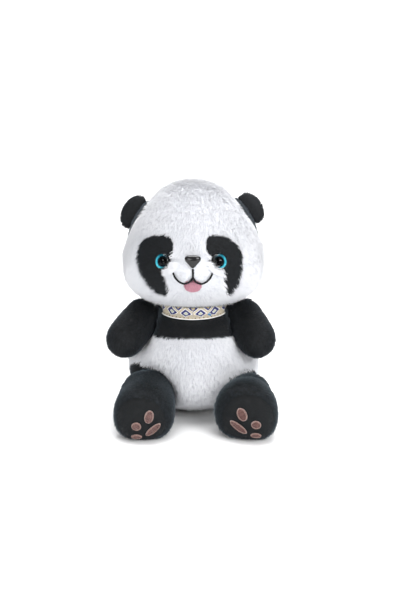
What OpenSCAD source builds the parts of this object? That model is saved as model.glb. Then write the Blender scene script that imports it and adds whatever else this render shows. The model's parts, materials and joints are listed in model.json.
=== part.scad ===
// Seated plush panda: sewn pile-fabric panels over fibre stuffing, with sewn-in soft limbs.
// Millimetres, +Z up, the panda faces -Y, origin at the centre of the seat panel on the floor.
// Left and right are the panda's own: its left is +X.

/* [Head] */
// Half of the head's width at the cheeks
head_half_w = 67.5; // [60:0.5:72]
// Front-to-back half depth of the head
head_half_d = 58; // [52:0.5:64]
// Height of the widest level of the head
head_z = 154; // [150:0.5:158]
// Rise of the crown above the widest level
head_rise = 76; // [66:0.5:80]
// Drop of the jaw below the widest level
head_drop = 43; // [38:0.5:44]
// How far the muzzle stands out of the face
muzzle_out = 8; // [4:0.5:10]
// Height of the middle of the muzzle
muzzle_z = 146; // [143:0.5:149]
// Half width of the muzzle
muzzle_half_w = 24; // [20:0.5:28]

/* [Face] */
// Distance of the left and right eye from the middle plane
eye_out = [23.5, 27]; // [22:0.5:29]
// Height of the eyes
eye_z = 157.5; // [154:0.5:162]
// Radius of an eye lens
eye_r = 7.9; // [6:0.1:9]
// Sideways shift of the left and right eye patch from its drawn place
patch_shift = [0, 0]; // [-3:0.5:3]
// Height of the middle of the nose
nose_z = 158; // [155:0.5:161]
// Width of the nose
nose_w = 16; // [12:0.5:18]
// Height of the nose
nose_h = 12.5; // [10:0.5:14]

/* [Ears] */
// Half length of the left and right ear along its sewn edge
ear_half_l = [18, 19.5]; // [15:0.5:21]
// How far an ear stands out of the head
ear_out = 13.5; // [11:0.5:16]
// Half thickness of an ear
ear_half_t = 6; // [4:0.5:7]
// Latitude of the left and right ear on the head
ear_lat = [38, 35]; // [33:1:42]

/* [Body] */
// Half of the body's width
body_half_w = 64.5; // [60:0.5:68]
// Depth of the belly in front of the middle
belly_d = 57; // [52:0.5:60]
// Depth of the back behind the middle
back_d = 51; // [46:0.5:56]
// Height of the widest level of the body
body_z = 45; // [42:0.5:48]
// Height of the seam between the black chest and the white belly
chest_seam_z = 83.5; // [80:0.5:90]
// Height of the flat top of the body, where the neck sits
body_top_z = 104.5; // [103:0.5:105]

/* [Arms] */
// Distance of a shoulder from the middle plane
shoulder_out = 49.5; // [46:0.5:51]
// Height of the shoulders
shoulder_z = 98; // [96:0.5:99]
// Radius of an arm at the shoulder and at the paw
arm_r = [17.5, 18.5]; // [15:0.5:19]
// Distance of the left and right paw from the middle plane
paw_out = [60.5, 65]; // [56:0.5:66]
// Height of the paws
paw_z = 81; // [78:0.5:85]

/* [Legs] */
// Distance of the left and right hip from the middle plane
hip_out = [53, 41]; // [36:0.5:56]
// Distance of the left and right foot from the middle plane
foot_out = [48.5, 44.5]; // [42:0.5:52]
// Distance of a foot's middle in front of the body's middle
foot_y = 78; // [70:0.5:80]
// Radius of the left and right leg at the hip
hip_r = [18.5, 22]; // [17:0.5:24]
// Radius of the left and right leg at the foot
foot_r = [28, 26.5]; // [24:0.5:30]
// How far the sole stands in front of the foot's middle
sole_out = 23; // [18:0.5:26]
// How far the middle of the left and right sole is turned outward
sole_outward = [9.5, 2]; // [0:0.5:10]
// How far the sole's middle is turned down
sole_down = 6; // [0:0.5:9]
// Height of a leg below its middle, as a share of its radius, where it lies on the floor
foot_flat = 0.86; // [0.8:0.01:1]

/* [Fabric] */
// Thickness of a pile-fabric panel
skin = 2; // [1:0.1:2.4]
// Gap left around every soft limb
socket_gap = 2.9; // [1.6:0.1:3.4]

/* [Hidden] */

white = [0.93, 0.94, 0.96];
black = [0.07, 0.08, 0.09];
fibre = [0.9, 0.9, 0.88];
plastic = [0.03, 0.03, 0.03];

head_top_n = 1.9;            // roundness of the head's upper outline
head_low_n = 3;              // roundness of the head's lower outline
muzzle_half_h = 17;
gusset_lon = 25;             // half width of the forehead gusset and muzzle, in longitude
gusset_lat = 12;             // latitude of the seam between gusset and muzzle
fill_gap = 0.7;              // gap between a panel and the stuffing behind it
pole = 89;                   // panels stop one degree short of a form's pole

body_low_h = 48;             // semi-height below the widest level, cut flat by the floor
body_high_h = 64;            // semi-height above the widest level
body_low_n = 2;
body_high_n = 2.4;
pellet_top_z = 14;

shoulder = [shoulder_out, -4, shoulder_z];
paws = [[paw_out[0], -36, paw_z], [paw_out[1], -35, paw_z]];
hips = [for (x = hip_out) [x, -43, 28.5]];
leg_r = [for (side = [0, 1]) [hip_r[side], foot_r[side]]];
feet = [for (side = [0, 1]) [foot_out[side], -foot_y, foot_r[side] * foot_flat + 0.4]];
leg_low_n = 3;               // squareness of a leg's lower half at the foot
leg_spread = 20;             // degrees that a leg turns outward
leg_lift = 12;               // degrees that a leg lifts
wad_r = [9, 12];             // radius of the fibre wad in a shoulder and in a hip

// ---- plain maths ----

function clamp(x, low, high) = max(low, min(high, x));
function unit(v) = v / norm(v);
function power(x, n) = sign(x) * pow(abs(x), n);
function bump(a, b) = exp(-a * a - b * b);
function side_sign(side) = side == 0 ? 1 : -1;
function turned_z(v, a) = [v.x * cos(a) - v.y * sin(a), v.x * sin(a) + v.y * cos(a), v.z];
function turned_x(v, a) = [v.x, v.y * cos(a) - v.z * sin(a), v.y * sin(a) + v.z * cos(a)];

// Closed smooth curve through a few points, as steps points for each span.
function catmull(a, b, c, d, t) =
  0.5 * (2 * b + (c - a) * t + (2 * a - 5 * b + 4 * c - d) * t * t
  + (3 * b - a - 3 * c + d) * t * t * t);
function closed_curve(p, steps) = let (n = len(p)) [
  for (i = [0:n - 1]) for (k = [0:steps - 1])
    catmull(p[(i + n - 1) % n], p[i], p[(i + 1) % n], p[(i + 2) % n], k / steps)
];
function open_curve(p, steps) = let (n = len(p)) concat([
  for (i = [0:n - 2]) for (k = [0:steps - 1])
    catmull(p[max(i - 1, 0)], p[i], p[i + 1], p[min(i + 2, n - 1)], k / steps)
], [p[n - 1]]);

// ---- generic closed solids ----

// Two triangles for the four corners a, b, c, d.
function quad(a, b, c, d) = [[a, b, c], [a, c, d]];

// A sewn panel: a thin closed shell of thickness t over a patch of the form f(u, v, inset).
module panel(f, u0, u1, nu, v0, v1, nv, t = skin) {
  per = (nu + 1) * (nv + 1);
  function id(k, i, j) = k * per + i * (nv + 1) + j;
  points = [
    for (k = [0, 1]) for (i = [0:nu]) for (j = [0:nv])
      f(u0 + (u1 - u0) * i / nu, v0 + (v1 - v0) * j / nv, k * t)
  ];
  outer = [for (i = [0:nu - 1]) for (j = [0:nv - 1])
    each quad(id(0, i, j), id(0, i, j + 1), id(0, i + 1, j + 1), id(0, i + 1, j))];
  inner = [for (i = [0:nu - 1]) for (j = [0:nv - 1])
    each quad(id(1, i, j), id(1, i + 1, j), id(1, i + 1, j + 1), id(1, i, j + 1))];
  sides = [for (j = [0:nv - 1]) each concat(
    quad(id(0, 0, j), id(1, 0, j), id(1, 0, j + 1), id(0, 0, j + 1)),
    quad(id(0, nu, j), id(0, nu, j + 1), id(1, nu, j + 1), id(1, nu, j)))];
  ends = [for (i = [0:nu - 1]) each concat(
    quad(id(0, i, 0), id(0, i + 1, 0), id(1, i + 1, 0), id(1, i, 0)),
    quad(id(0, i, nv), id(1, i, nv), id(1, i + 1, nv), id(0, i + 1, nv)))];
  polyhedron(points, concat(outer, inner, sides, ends));
}

// A closed solid from rings of equal length, with a middle point at each end.
module plug(rings, first, last) {
  n = len(rings[0]);
  m = len(rings);
  points = concat([for (ring = rings) each ring], [first, last]);
  walls = [for (k = [0:m - 2]) for (i = [0:n - 1])
    each quad(k * n + i, (k + 1) * n + i, (k + 1) * n + (i + 1) % n, k * n + (i + 1) % n)];
  foot_cap = [for (i = [0:n - 1]) [m * n, i, (i + 1) % n]];
  head_cap = [for (i = [0:n - 1]) [m * n + 1, (m - 1) * n + (i + 1) % n, (m - 1) * n + i]];
  polyhedron(points, concat(walls, foot_cap, head_cap));
}

// The whole of a form f(u, v, inset) as one closed solid, u going round and v from pole to pole.
module whole_form(f, nu, nv, inset) {
  rings = [for (j = [1:nv - 1]) [for (i = [0:nu - 1])
    f(360 * i / nu, -90 + 180 * j / nv, inset)]];
  plug(rings, f(0, -90, inset), f(0, 90, inset));
}

// A round panel that closes over a form's pole at v = end, from its seam at v = seam.
module dish(f, nu, seam, end, nv, t = skin) {
  function ring(j, inset) = [for (i = [0:nu - 1]) f(360 * i / nu, seam + (end - seam) * j / nv, inset)];
  outer = [for (j = [nv - 1:-1:0]) ring(j, 0)];
  inner = [for (j = [0:nv - 1]) ring(j, t)];
  plug(concat(outer, inner), f(0, end, 0), f(0, end, t));
}

// A patch of fabric or thread laid on a surface f(a, b, inset), inside a closed outline.
module laid_patch(f, middle, outline, low, high) {
  shares = [0.35, 0.7, 1];
  n = len(outline);
  function ring(share, lift) = [for (p = outline)
    let (q = middle + (p - middle) * share) f(q[0], q[1], -lift)];
  under = [for (share = shares) ring(share, low)];
  over = [for (k = [2:-1:0]) ring(shares[k], high)];
  plug(concat(under, over), f(middle[0], middle[1], -low), f(middle[0], middle[1], -high));
}

// A round thread that follows points on a surface.
module thread(points, r) {
  n = len(points);
  rings = [for (i = [0:n - 1])
    let (d = unit(points[min(i + 1, n - 1)] - points[max(i - 1, 0)]),
         s = unit(cross(d, [0, 1, 0])),
         t = cross(d, s))
    [for (a = [0:60:300]) points[i] + (s * cos(a) - t * sin(a)) * r]];
  plug(rings, points[0], points[n - 1]);
}

// Places a child so that its +Z points along direction d from point p.
module aim(p, d) {
  translate(p) rotate([0, acos(clamp(d.z / norm(d), -1, 1)), atan2(d.y, d.x)]) children();
}

// ---- head ----

function muzzle_lift(x, z) = muzzle_out * bump(x / muzzle_half_w, (z - muzzle_z) / muzzle_half_h);

// Longitude 0 is the middle of the face and 90 the panda's left; latitude 90 is the crown.
function head_form(lon, lat, inset) = let (
    n = lat >= 0 ? head_top_n : head_low_n,
    ring = pow(cos(lat), 2 / n),
    x = (head_half_w - inset) * ring * sin(lon),
    y = -(head_half_d - inset) * ring * cos(lon),
    z = head_z + ((lat >= 0 ? head_rise : head_drop) - inset) * power(sin(lat), 2 / n)
  ) [x, y - (cos(lon) > 0 ? muzzle_lift(x, z) * cos(lon) : 0), z];

// The face as seen from the front: the point at sideways place x and height z.
function face(x, z, inset) = let (
    n = z >= head_z ? head_top_n : head_low_n,
    up = abs(z - head_z) / ((z >= head_z ? head_rise : head_drop) - inset),
    ring = pow(1 - pow(up, n), 1 / n),
    s = clamp(x / ((head_half_w - inset) * ring), -1, 1),
    c = sqrt(1 - s * s)
  ) [x, -(head_half_d - inset) * ring * c - muzzle_lift(x, z) * c, z];

function face_normal(x, z) = let (h = 0.5) unit(cross(
  face(x + h, z, 0) - face(x - h, z, 0), face(x, z + h, 0) - face(x, z - h, 0)));

module head_panel(lon0, lon1, nlon, lat0, lat1, nlat) {
  f = function (u, v, inset) head_form(u, v, inset);
  color(white) panel(f, lon0, lon1, nlon, lat0, lat1, nlat);
}

module forehead_gusset() head_panel(-gusset_lon, gusset_lon, 8, gusset_lat, pole, 10);
module muzzle_panel() head_panel(-gusset_lon, gusset_lon, 10, -pole, gusset_lat, 14);
module cheek_panel_left() head_panel(gusset_lon, 95, 8, -pole, pole, 20);
module cheek_panel_right() head_panel(-95, -gusset_lon, 8, -pole, pole, 20);
module head_back_left() head_panel(95, 180, 9, -pole, pole, 18);
module head_back_right() head_panel(180, 265, 9, -pole, pole, 18);

module head_stuffing() {
  f = function (u, v, inset) head_form(u, v, inset);
  color(fibre) whole_form(f, 32, 16, skin + fill_gap);
}

// Front outlines of the left and right eye patch, as outward place and height.
patch_outlines = [[
  [15, 180], [13.5, 167], [22.5, 161], [29.5, 150], [29.5, 134],
  [33.5, 124.5], [41.5, 135], [45, 152], [43, 169], [30, 179.5]
], [
  [20.5, 178], [18.5, 166], [26.5, 151], [25, 137], [22.5, 127],
  [33, 127], [45.5, 139.5], [52, 158], [47.5, 175], [31, 181]
]];
patch_middles = [[32, 156], [37, 156]];

module eye_patch(side) {
  f = function (a, b, inset) face(side_sign(side) * a, b, inset);
  shift = [patch_shift[side], 0];
  outline = [for (p = closed_curve(patch_outlines[side], 3)) p + shift];
  turn = side == 0 ? outline : [for (i = [len(outline) - 1:-1:0]) outline[i]];
  color(black) laid_patch(f, patch_middles[side] + shift, turn, 0.4, 1.6);
}
module eye_patch_left() eye_patch(0);
module eye_patch_right() eye_patch(1);

function eye_place(side) = face(side_sign(side) * eye_out[side], eye_z, -2);
function eye_aim(side) = -face_normal(side_sign(side) * eye_out[side], eye_z);
eye_plate_t = 1.2;
eye_stem_r = 1.8;
eye_stem_l = 13;
washer_depth = 6;

// Clear dome over the printed iris.
module eye_lens(side) {
  dome_r = eye_r * 1.15;
  sink = sqrt(dome_r * dome_r - eye_r * eye_r);
  color([0.35, 0.75, 0.8, 0.5]) aim(eye_place(side), -eye_aim(side))
    intersection() {
      translate([0, 0, eye_plate_t - sink]) sphere(r = dome_r, $fn = 48);
      translate([0, 0, eye_plate_t]) cylinder(h = dome_r, r = eye_r, $fn = 48);
    }
}
module eye_lens_left() eye_lens(0);
module eye_lens_right() eye_lens(1);

// Printed back plate with the stem that goes through the fabric.
module eye_stem(side) {
  color(plastic) aim(eye_place(side), -eye_aim(side)) {
    cylinder(h = eye_plate_t, r = eye_r, $fn = 48);
    translate([0, 0, -eye_stem_l]) cylinder(h = eye_stem_l + 0.1, r = eye_stem_r, $fn = 24);
  }
}
module eye_stem_left() eye_stem(0);
module eye_stem_right() eye_stem(1);

// Lock washer pushed onto a stem behind the fabric.
module washer(r, hole_r, t) {
  difference() {
    cylinder(h = t, r = r, $fn = 48);
    translate([0, 0, -1]) cylinder(h = t + 2, r = hole_r, $fn = 24);
  }
}
module eye_washer(side) {
  color(plastic) aim(eye_place(side), -eye_aim(side))
    translate([0, 0, -washer_depth - 1.5]) washer(7, eye_stem_r, 1.5);
}
module eye_washer_left() eye_washer(0);
module eye_washer_right() eye_washer(1);

nose_front = face(0, nose_z, 0).y;
nose_stem_r = 1.8;

// Moulded nose: a rounded triangle, widest at the top, with its stem.
module nose() {
  ball = 3.4;
  color(plastic) translate([0, nose_front - 1.2, nose_z]) {
    hull() {
      for (s = [-1, 1]) translate([s * (nose_w / 2 - ball), 0, nose_h / 2 - ball])
        sphere(r = ball, $fn = 28);
      translate([0, -1.6, nose_h / 2 - ball]) sphere(r = ball, $fn = 28);
      translate([0, -0.4, -nose_h / 2 + 2.4]) sphere(r = 2.4, $fn = 28);
    }
    rotate([-90, 0, 0]) cylinder(h = 13, r = nose_stem_r, $fn = 24);
  }
}
module nose_washer() {
  color(plastic) translate([0, nose_front + 6, nose_z]) rotate([-90, 0, 0])
    washer(7, nose_stem_r, 1.5);
}

mouth_top_z = 151.6;
mouth_join_z = 143.5;
mouth_low_z = 138.6;
mouth_curl = [17.5, 148];
mouth_low_out = 8;
thread_r = 0.8;

// Black embroidered mouth: a short upright line, and two curls that meet below it.
module mouth_stitching() {
  half = [[mouth_curl.x, mouth_curl.y], [14.5, 142.2], [mouth_low_out, mouth_low_z], [2.4, 140.8]];
  curls = open_curve(concat(
    [for (p = half) [-p.x, p.y]], [[0, mouth_join_z]],
    [for (i = [3:-1:0]) half[i]]), 3);
  color(plastic) {
    thread([for (p = curls) face(p.x, p.y, -thread_r)], thread_r);
    thread([for (z = [mouth_top_z:-2:mouth_join_z + 2]) face(0, z, -thread_r)], thread_r);
  }
}

tongue_z = 135;
module tongue() {
  outline = [for (a = [0:20:340]) [7.5 * cos(a), tongue_z + 4.6 * sin(a)]];
  turn = [for (i = [len(outline) - 1:-1:0]) outline[i]];
  color([0.85, 0.6, 0.66])
    laid_patch(function (a, b, inset) face(a, b, inset), [0, tongue_z], turn, 0.4, 1.8);
}

// ---- ears ----

ear_lon = 97;
ear_root = 3;                // how far an ear reaches back towards the head from its fold line
ear_lift = 3.8;              // height of the fold line above the head's surface
function ear_base(side) = head_form(side_sign(side) * ear_lon, ear_lat[side], 0);
function ear_away(side) = unit(cross(
  head_form(side_sign(side) * ear_lon, ear_lat[side] + 1, 0) - ear_base(side),
  head_form(side_sign(side) * ear_lon + 1, ear_lat[side], 0) - ear_base(side))) * -1;
function ear_along(side) = unit(cross([0, 1, 0], ear_away(side)));
function ear_fold(side) = ear_base(side) + ear_away(side) * ear_lift;

// u goes round in the plane of the ear, and v from its back to its front.
function ear_form(side, u, v, inset) = let (
    a = (ear_half_l[side] - inset) * cos(u) * cos(v),
    b = ((sin(u) > 0 ? ear_out : ear_root) - inset) * sin(u) * cos(v),
    t = (ear_half_t - inset) * sin(v),
    away = ear_away(side),
    along = ear_along(side)
  ) ear_fold(side) + along * a * side_sign(side) + away * b
    + cross(away, along) * t;

ear_seam_v = 1;
module ear_half(side, face_sign) {
  turn = face_sign * side_sign(side);
  f = function (u, v, inset) ear_form(side, turn * u, v, inset);
  color(black) dish(f, 20, face_sign * ear_seam_v, face_sign * 90, 4, 1.6);
}

// ---- body ----

function body_share(z) = z < body_z
  ? pow(1 - pow((body_z - z) / body_low_h, body_low_n), 1 / body_low_n)
  : pow(1 - pow((z - body_z) / body_high_h, body_high_n), 1 / body_high_n);

// Round-ended limb from a to b: how far p is outside it.
function limb_gap(p, a, b, r) = let (
    d = b - a,
    h = clamp(((p - a) * d) / (d * d), 0, 1)
  ) norm(p - a - d * h) - (r[0] + (r[1] - r[0]) * h);

// Where each side's foot goes at the limits of its joints.
swung_feet = [for (side = [0, 1]) [for (spread = [0, leg_spread], lift = [0, leg_lift])
  hips[side] + turned_x(turned_z(feet[side] - hips[side], spread), -lift)]];

// Gap between a point and the nearest limb, at rest or swung.
function socket(p) = let (q = [abs(p.x), p.y, p.z], side = p.x < 0 ? 1 : 0) min(concat(
  [for (paw = paws) limb_gap(q, shoulder, paw, arm_r)],
  [for (foot = swung_feet[side]) limb_gap(q, hips[side], foot, leg_r[side])]
)) - socket_gap;

// Steps outward from the body's middle until the plain form or a socket is reached.
function reach(o, d, r, most, left) = left == 0 || r >= most
  ? min(r, most)
  : let (gap = socket(o + d * r)) gap < 0.1 ? r : reach(o, d, r + gap, most, left - 1);

function body_form(lon, z, inset) = let (
    share = body_share(z),
    depth = cos(lon) > 0 ? belly_d : back_d,
    most = share / norm([sin(lon) / body_half_w, cos(lon) / depth]),
    d = [sin(lon), -cos(lon), 0],
    r = reach([0, 0, z], d, 4, most, 30) - inset
  ) [d.x * r, d.y * r, z];

module body_panel(lon0, lon1, nlon, z0, z1, nz, tint) {
  f = function (u, v, inset) body_form(u, v, inset);
  color(tint) panel(f, lon0, lon1, nlon, z0, z1, nz);
}

// A solid slice of the form f between two heights.
module body_slice(f, z0, z1, nz, inset, facets) {
  rings = [for (k = [0:nz]) [for (i = [0:facets - 1])
    f(360 * i / facets, z0 + (z1 - z0) * k / nz, inset)]];
  plug(rings, [0, 0, z0], [0, 0, z1]);
}

// The room for the body's fibre: behind the panels, and clear of the folds round each socket.
function body_core(lon, z, inset) = let (
    near = [for (dl = [-7, 0, 7], dz = [-5, 0, 5])
      let (p = body_form(lon + dl, clamp(z + dz, 0, body_top_z), 0)) norm([p.x, p.y])]
  ) [sin(lon), -cos(lon), 0] * (min(near) - inset) + [0, 0, z];

seat_t = 2;
module chest_panel() body_panel(-90, 90, 36, chest_seam_z, body_top_z, 5, black);
module belly_panel() body_panel(-90, 90, 32, seat_t + 0.1, chest_seam_z, 12, white);
module back_upper_panel() body_panel(90, 270, 26, chest_seam_z, body_top_z, 4, black);
module back_lower_panel() body_panel(90, 270, 26, seat_t + 0.1, chest_seam_z, 10, white);
module seat_panel() {
  f = function (lon, z, inset) body_form(lon, z, inset);
  color(white) body_slice(f, 0, seat_t, 1, 0.6, 36);
}
module body_stuffing() {
  f = function (lon, z, inset) body_core(lon, z, inset);
  color(fibre) body_slice(f, pellet_top_z + 0.6, body_top_z - 1.5, 12, skin + fill_gap, 40);
}
module pellet_bag() {
  f = function (lon, z, inset) body_core(lon, z, inset);
  color([0.8, 0.8, 0.76]) body_slice(f, seat_t + 0.6, pellet_top_z, 3, skin + fill_gap, 36);
}

tail_r = 10;
tail_z = 30;
module tail() {
  rear = body_form(180, tail_z, 0);
  up = body_form(180, tail_z + 1, 0) - body_form(180, tail_z - 1, 0);
  away = unit([0, up.z, -up.y]);
  color(white) aim(rear + away * 0.5, away) intersection() {
    sphere(r = tail_r, $fn = 24);
    translate([-tail_r, -tail_r, 0]) cube(2 * tail_r);
  }
}

neck_r = 22;
neck_top_r = 4;
neck_slope = 0.17;           // fall of the neck's top, so that the head can nod over it
neck_top_z = head_z - head_drop - 0.9;
neck_side_z = neck_top_z - (neck_r - neck_top_r) * neck_slope;
module neck_stuffing() {
  base_z = body_top_z + 0.3;
  color(black) {
    translate([0, 0, base_z]) cylinder(h = neck_side_z - base_z, r = neck_r, $fn = 48);
    translate([0, 0, neck_side_z - 0.01])
      cylinder(h = neck_top_z - neck_side_z, r1 = neck_r, r2 = neck_top_r, $fn = 48);
  }
}

// Kerchief: a ring of cloth round the neck that falls in a crescent over the chest.
cloth_t = 1;
cloth_gap = 0.5;
kerchief_in_r = 25;
function kerchief_low_z(lon) = 103.4 - 5.4 * exp(-pow(lon / 52, 2));
function kerchief_form(lon, v, inset) = let (
    top = body_form(lon, body_top_z - 0.4, -cloth_gap - cloth_t),
    flat_share = clamp(v * 3, 0, 1),
    z = body_top_z - 0.4 - (body_top_z - 0.4 - kerchief_low_z(lon)) * clamp((v - 1 / 3) * 1.5, 0, 1),
    inner = [kerchief_in_r * sin(lon), -kerchief_in_r * cos(lon), 0],
    edge = body_form(lon, z, -cloth_gap - cloth_t),
    rim = [inner.x, inner.y, 0] * (1 - flat_share) + [top.x, top.y, 0] * flat_share,
    lift = [0, 0, cloth_gap + cloth_t + 0.6 - inset]
  ) v < 1 / 3 ? [rim.x, rim.y, top.z] + lift
    : [edge.x, edge.y, z] + lift * (1 - clamp((v - 1 / 3) * 3, 0, 1))
      - unit([edge.x, edge.y, 0]) * inset * clamp((v - 1 / 3) * 3, 0, 1);
module kerchief() {
  f = function (u, v, inset) kerchief_form(u > 180 ? u - 360 : u, 1 - v, inset);
  color([0.75, 0.72, 0.62]) panel(f, -179.5, 179.5, 48, 0, 1, 6, cloth_t);
}

// Blank folded tape in the side seam.
module care_label() {
  low_z = 14;
  high_z = 26;
  side = body_form(130, high_z, 0);
  out = unit([side.x, side.y, 0]);
  color([0.95, 0.95, 0.95]) translate([side.x, side.y, low_z] + out * 0.4)
    rotate([0, 0, atan2(side.y, side.x)]) translate([0, -0.5, 0]) cube([14, 1, high_z - low_z]);
}

// ---- limbs ----

// A limb from a to b: v from -90 at the sewn end, over a straight stretch, to 90 at the tip.
// Towards b the lower half changes to the share low[0] of its height and the squareness low[1].
tube_v = 40;
function limb_form(a, b, r, tip, tip_n, turn, low, u, v, inset) = let (
    ahead = unit(b - a),
    side = unit(cross(ahead, [0, 0, 1])),
    top = cross(side, ahead),
    h = clamp(v / tube_v, 0, 1),
    bend = v > tube_v ? 90 * (v - tube_v) / (90 - tube_v) : min(v, 0),
    n = v > tube_v ? tip_n : 2,
    blend = h * h * (3 - 2 * h),
    rad = (r[0] + (r[1] - r[0]) * blend - inset) * pow(cos(bend), 2 / n),
    far = ((v > 0 ? tip : r[0]) - inset) * power(sin(bend), 2 / n),
    shift = v > tube_v ? turn * sin(bend) * sin(bend) : [0, 0],
    m = sin(u) < 0 ? 2 / (2 + (low[1] - 2) * blend) : 1,
    share = sin(u) < 0 ? 1 + (low[0] - 1) * blend : 1
  ) a + (b - a) * h + ahead * far
    + side * (power(cos(u), m) * rad - shift[0])
    + top * (power(sin(u), m) * share * rad - shift[1]);

function mirrored(p, side) = [p.x * side_sign(side), p.y, p.z];

function arm_form(side, u, v, inset) = mirrored(
  limb_form(shoulder, paws[side], arm_r, arm_r[1], 2.1, [0, 0], [1, 2], u, v, inset), side);
function leg_form(side, u, v, inset) = mirrored(
  limb_form(hips[side], feet[side], leg_r[side], sole_out, 2.5, [sole_outward[side], sole_down],
    [foot_flat, leg_low_n], u, v, inset), side);

// A long panel of a limb; the right side is drawn the other way round so that it faces out.
module limb_panel(f, side, u0, u1, nu, v0, v1, nv) {
  color(black) if (side == 0) panel(f, u1, u0, nu, v0, v1, nv);
  else panel(f, u0, u1, nu, v0, v1, nv);
}
module limb_fill(f, side, nu, nv, hollow_at, hollow_r) {
  g = side == 0 ? function (u, v, inset) f(-u, v, inset) : f;
  color(fibre) difference() {
    whole_form(g, nu, nv, skin + fill_gap);
    translate(hollow_at) sphere(r = hollow_r + 0.5, $fn = 32);
  }
}
module wad(p, side, r) color(fibre) translate(mirrored(p, side)) sphere(r = r, $fn = 32);

seam_v = -62;                // where a limb's panels end at its sewn end
module arm_panel(side, u0, u1) {
  f = function (u, v, inset) arm_form(side, u, v, inset);
  limb_panel(f, side, u0, u1, 12, seam_v, pole, 12);
}
module arm_stuffing(side) {
  f = function (u, v, inset) arm_form(side, u, v, inset);
  limb_fill(f, side, 20, 12, mirrored(shoulder, side), wad_r[0]);
}

sole_v = 58;                 // where the sole panel is sewn to the leg
module leg_panel(side, u0, u1, v0, v1, nu, nv) {
  f = function (u, v, inset) leg_form(side, u, v, inset);
  limb_panel(f, side, u0, u1, nu, v0, v1, nv);
}
module sole_panel(side) {
  f = function (u, v, inset) leg_form(side, -side_sign(side) * u, v, inset);
  color(black) dish(f, 24, sole_v + 0.4, 90, 5);
}
module leg_stuffing(side) {
  f = function (u, v, inset) leg_form(side, u, v, inset);
  limb_fill(f, side, 24, 12, mirrored(hips[side], side), wad_r[1]);
}

// The sole as seen from the front: a is outward and b upward from the sole's middle.
function sole(side, a, b, inset) = let (
    n = b < 0 ? leg_low_n : 2,
    across = pow(abs(a), n / 2),
    high = pow(abs(b) / (b < 0 ? foot_flat : 1), n / 2),
    share = pow(norm([across, high]), 2 / n) / (foot_r[side] - inset),
    bend = acos(pow(clamp(share, 0, 1), 1.25)),
    v = tube_v + bend * (90 - tube_v) / 90
  ) leg_form(side, atan2(sign(b) * high, -sign(a) * across), v, inset);

// Toes and main pad: outward place, height, half width, half height and tilt.
toe_pads = [
  [-9.9, 10, 3.9, 5.3, 0],
  [1, 2.6, 5, 3.8, 8],
  [1.4, -8.2, 5.7, 2.6, 4]
];
main_pad = [-13.2, -2, 7.5, 3.1, 35];
pad_lift = [0.3, 1.1];

module pad(side, p) {
  outline = [for (a = [0:30:330])
    let (x = p[2] * cos(a), y = p[3] * sin(a))
    [p[0] + x * cos(p[4]) + y * sin(p[4]), p[1] - x * sin(p[4]) + y * cos(p[4])]];
  turn = side == 0 ? [for (i = [len(outline) - 1:-1:0]) outline[i]] : outline;
  f = function (a, b, inset) sole(side, a, b, inset);
  laid_patch(f, [p[0], p[1]], turn, pad_lift[0], pad_lift[1]);
}
module paw_pads(side) {
  color([0.62, 0.42, 0.38]) for (p = concat(toe_pads, [main_pad])) pad(side, p);
}

// ---- one module for each left and right piece ----

module ear_front_left() ear_half(0, 1);
module ear_back_left() ear_half(0, -1);
module ear_front_right() ear_half(1, 1);
module ear_back_right() ear_half(1, -1);

module shoulder_wad_left() wad(shoulder, 0, wad_r[0]);
module shoulder_wad_right() wad(shoulder, 1, wad_r[0]);
module arm_outer_left() arm_panel(0, 90.5, 269.5);
module arm_outer_right() arm_panel(1, 90.5, 269.5);
module arm_inner_left() arm_panel(0, -89.5, 89.5);
module arm_inner_right() arm_panel(1, -89.5, 89.5);
module arm_stuffing_left() arm_stuffing(0);
module arm_stuffing_right() arm_stuffing(1);

module hip_wad_left() wad(hips[0], 0, wad_r[1]);
module hip_wad_right() wad(hips[1], 1, wad_r[1]);
module leg_upper_left() leg_panel(0, 0.5, 179.5, seam_v, sole_v, 12, 10);
module leg_upper_right() leg_panel(1, 0.5, 179.5, seam_v, sole_v, 12, 10);
module leg_under_left() leg_panel(0, 180.5, 359.5, seam_v, sole_v, 12, 10);
module leg_under_right() leg_panel(1, 180.5, 359.5, seam_v, sole_v, 12, 10);
module sole_panel_left() sole_panel(0);
module sole_panel_right() sole_panel(1);
module paw_pads_left() paw_pads(0);
module paw_pads_right() paw_pads(1);
module leg_stuffing_left() leg_stuffing(0);
module leg_stuffing_right() leg_stuffing(1);

forehead_gusset();
cheek_panel_left();
cheek_panel_right();
muzzle_panel();
head_back_left();
head_back_right();
head_stuffing();
eye_patch_left();
eye_patch_right();
eye_lens_left();
eye_lens_right();
eye_stem_left();
eye_stem_right();
eye_washer_left();
eye_washer_right();
nose();
nose_washer();
mouth_stitching();
tongue();
ear_front_left();
ear_back_left();
ear_front_right();
ear_back_right();
neck_stuffing();
chest_panel();
belly_panel();
back_upper_panel();
back_lower_panel();
seat_panel();
body_stuffing();
pellet_bag();
tail();
kerchief();
care_label();
shoulder_wad_left();
arm_outer_left();
arm_inner_left();
arm_stuffing_left();
shoulder_wad_right();
arm_outer_right();
arm_inner_right();
arm_stuffing_right();
hip_wad_left();
leg_upper_left();
leg_under_left();
sole_panel_left();
paw_pads_left();
leg_stuffing_left();
hip_wad_right();
leg_upper_right();
leg_under_right();
sole_panel_right();
paw_pads_right();
leg_stuffing_right();
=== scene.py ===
"""Looks of the plush panda: stuffed skins, real pile strands, safety eyes, stitching and a kerchief round the frame."""
import json
import math

import bpy
import numpy as np
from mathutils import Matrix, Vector
from mathutils.bvhtree import BVHTree
from mathutils.kdtree import KDTree


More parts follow.
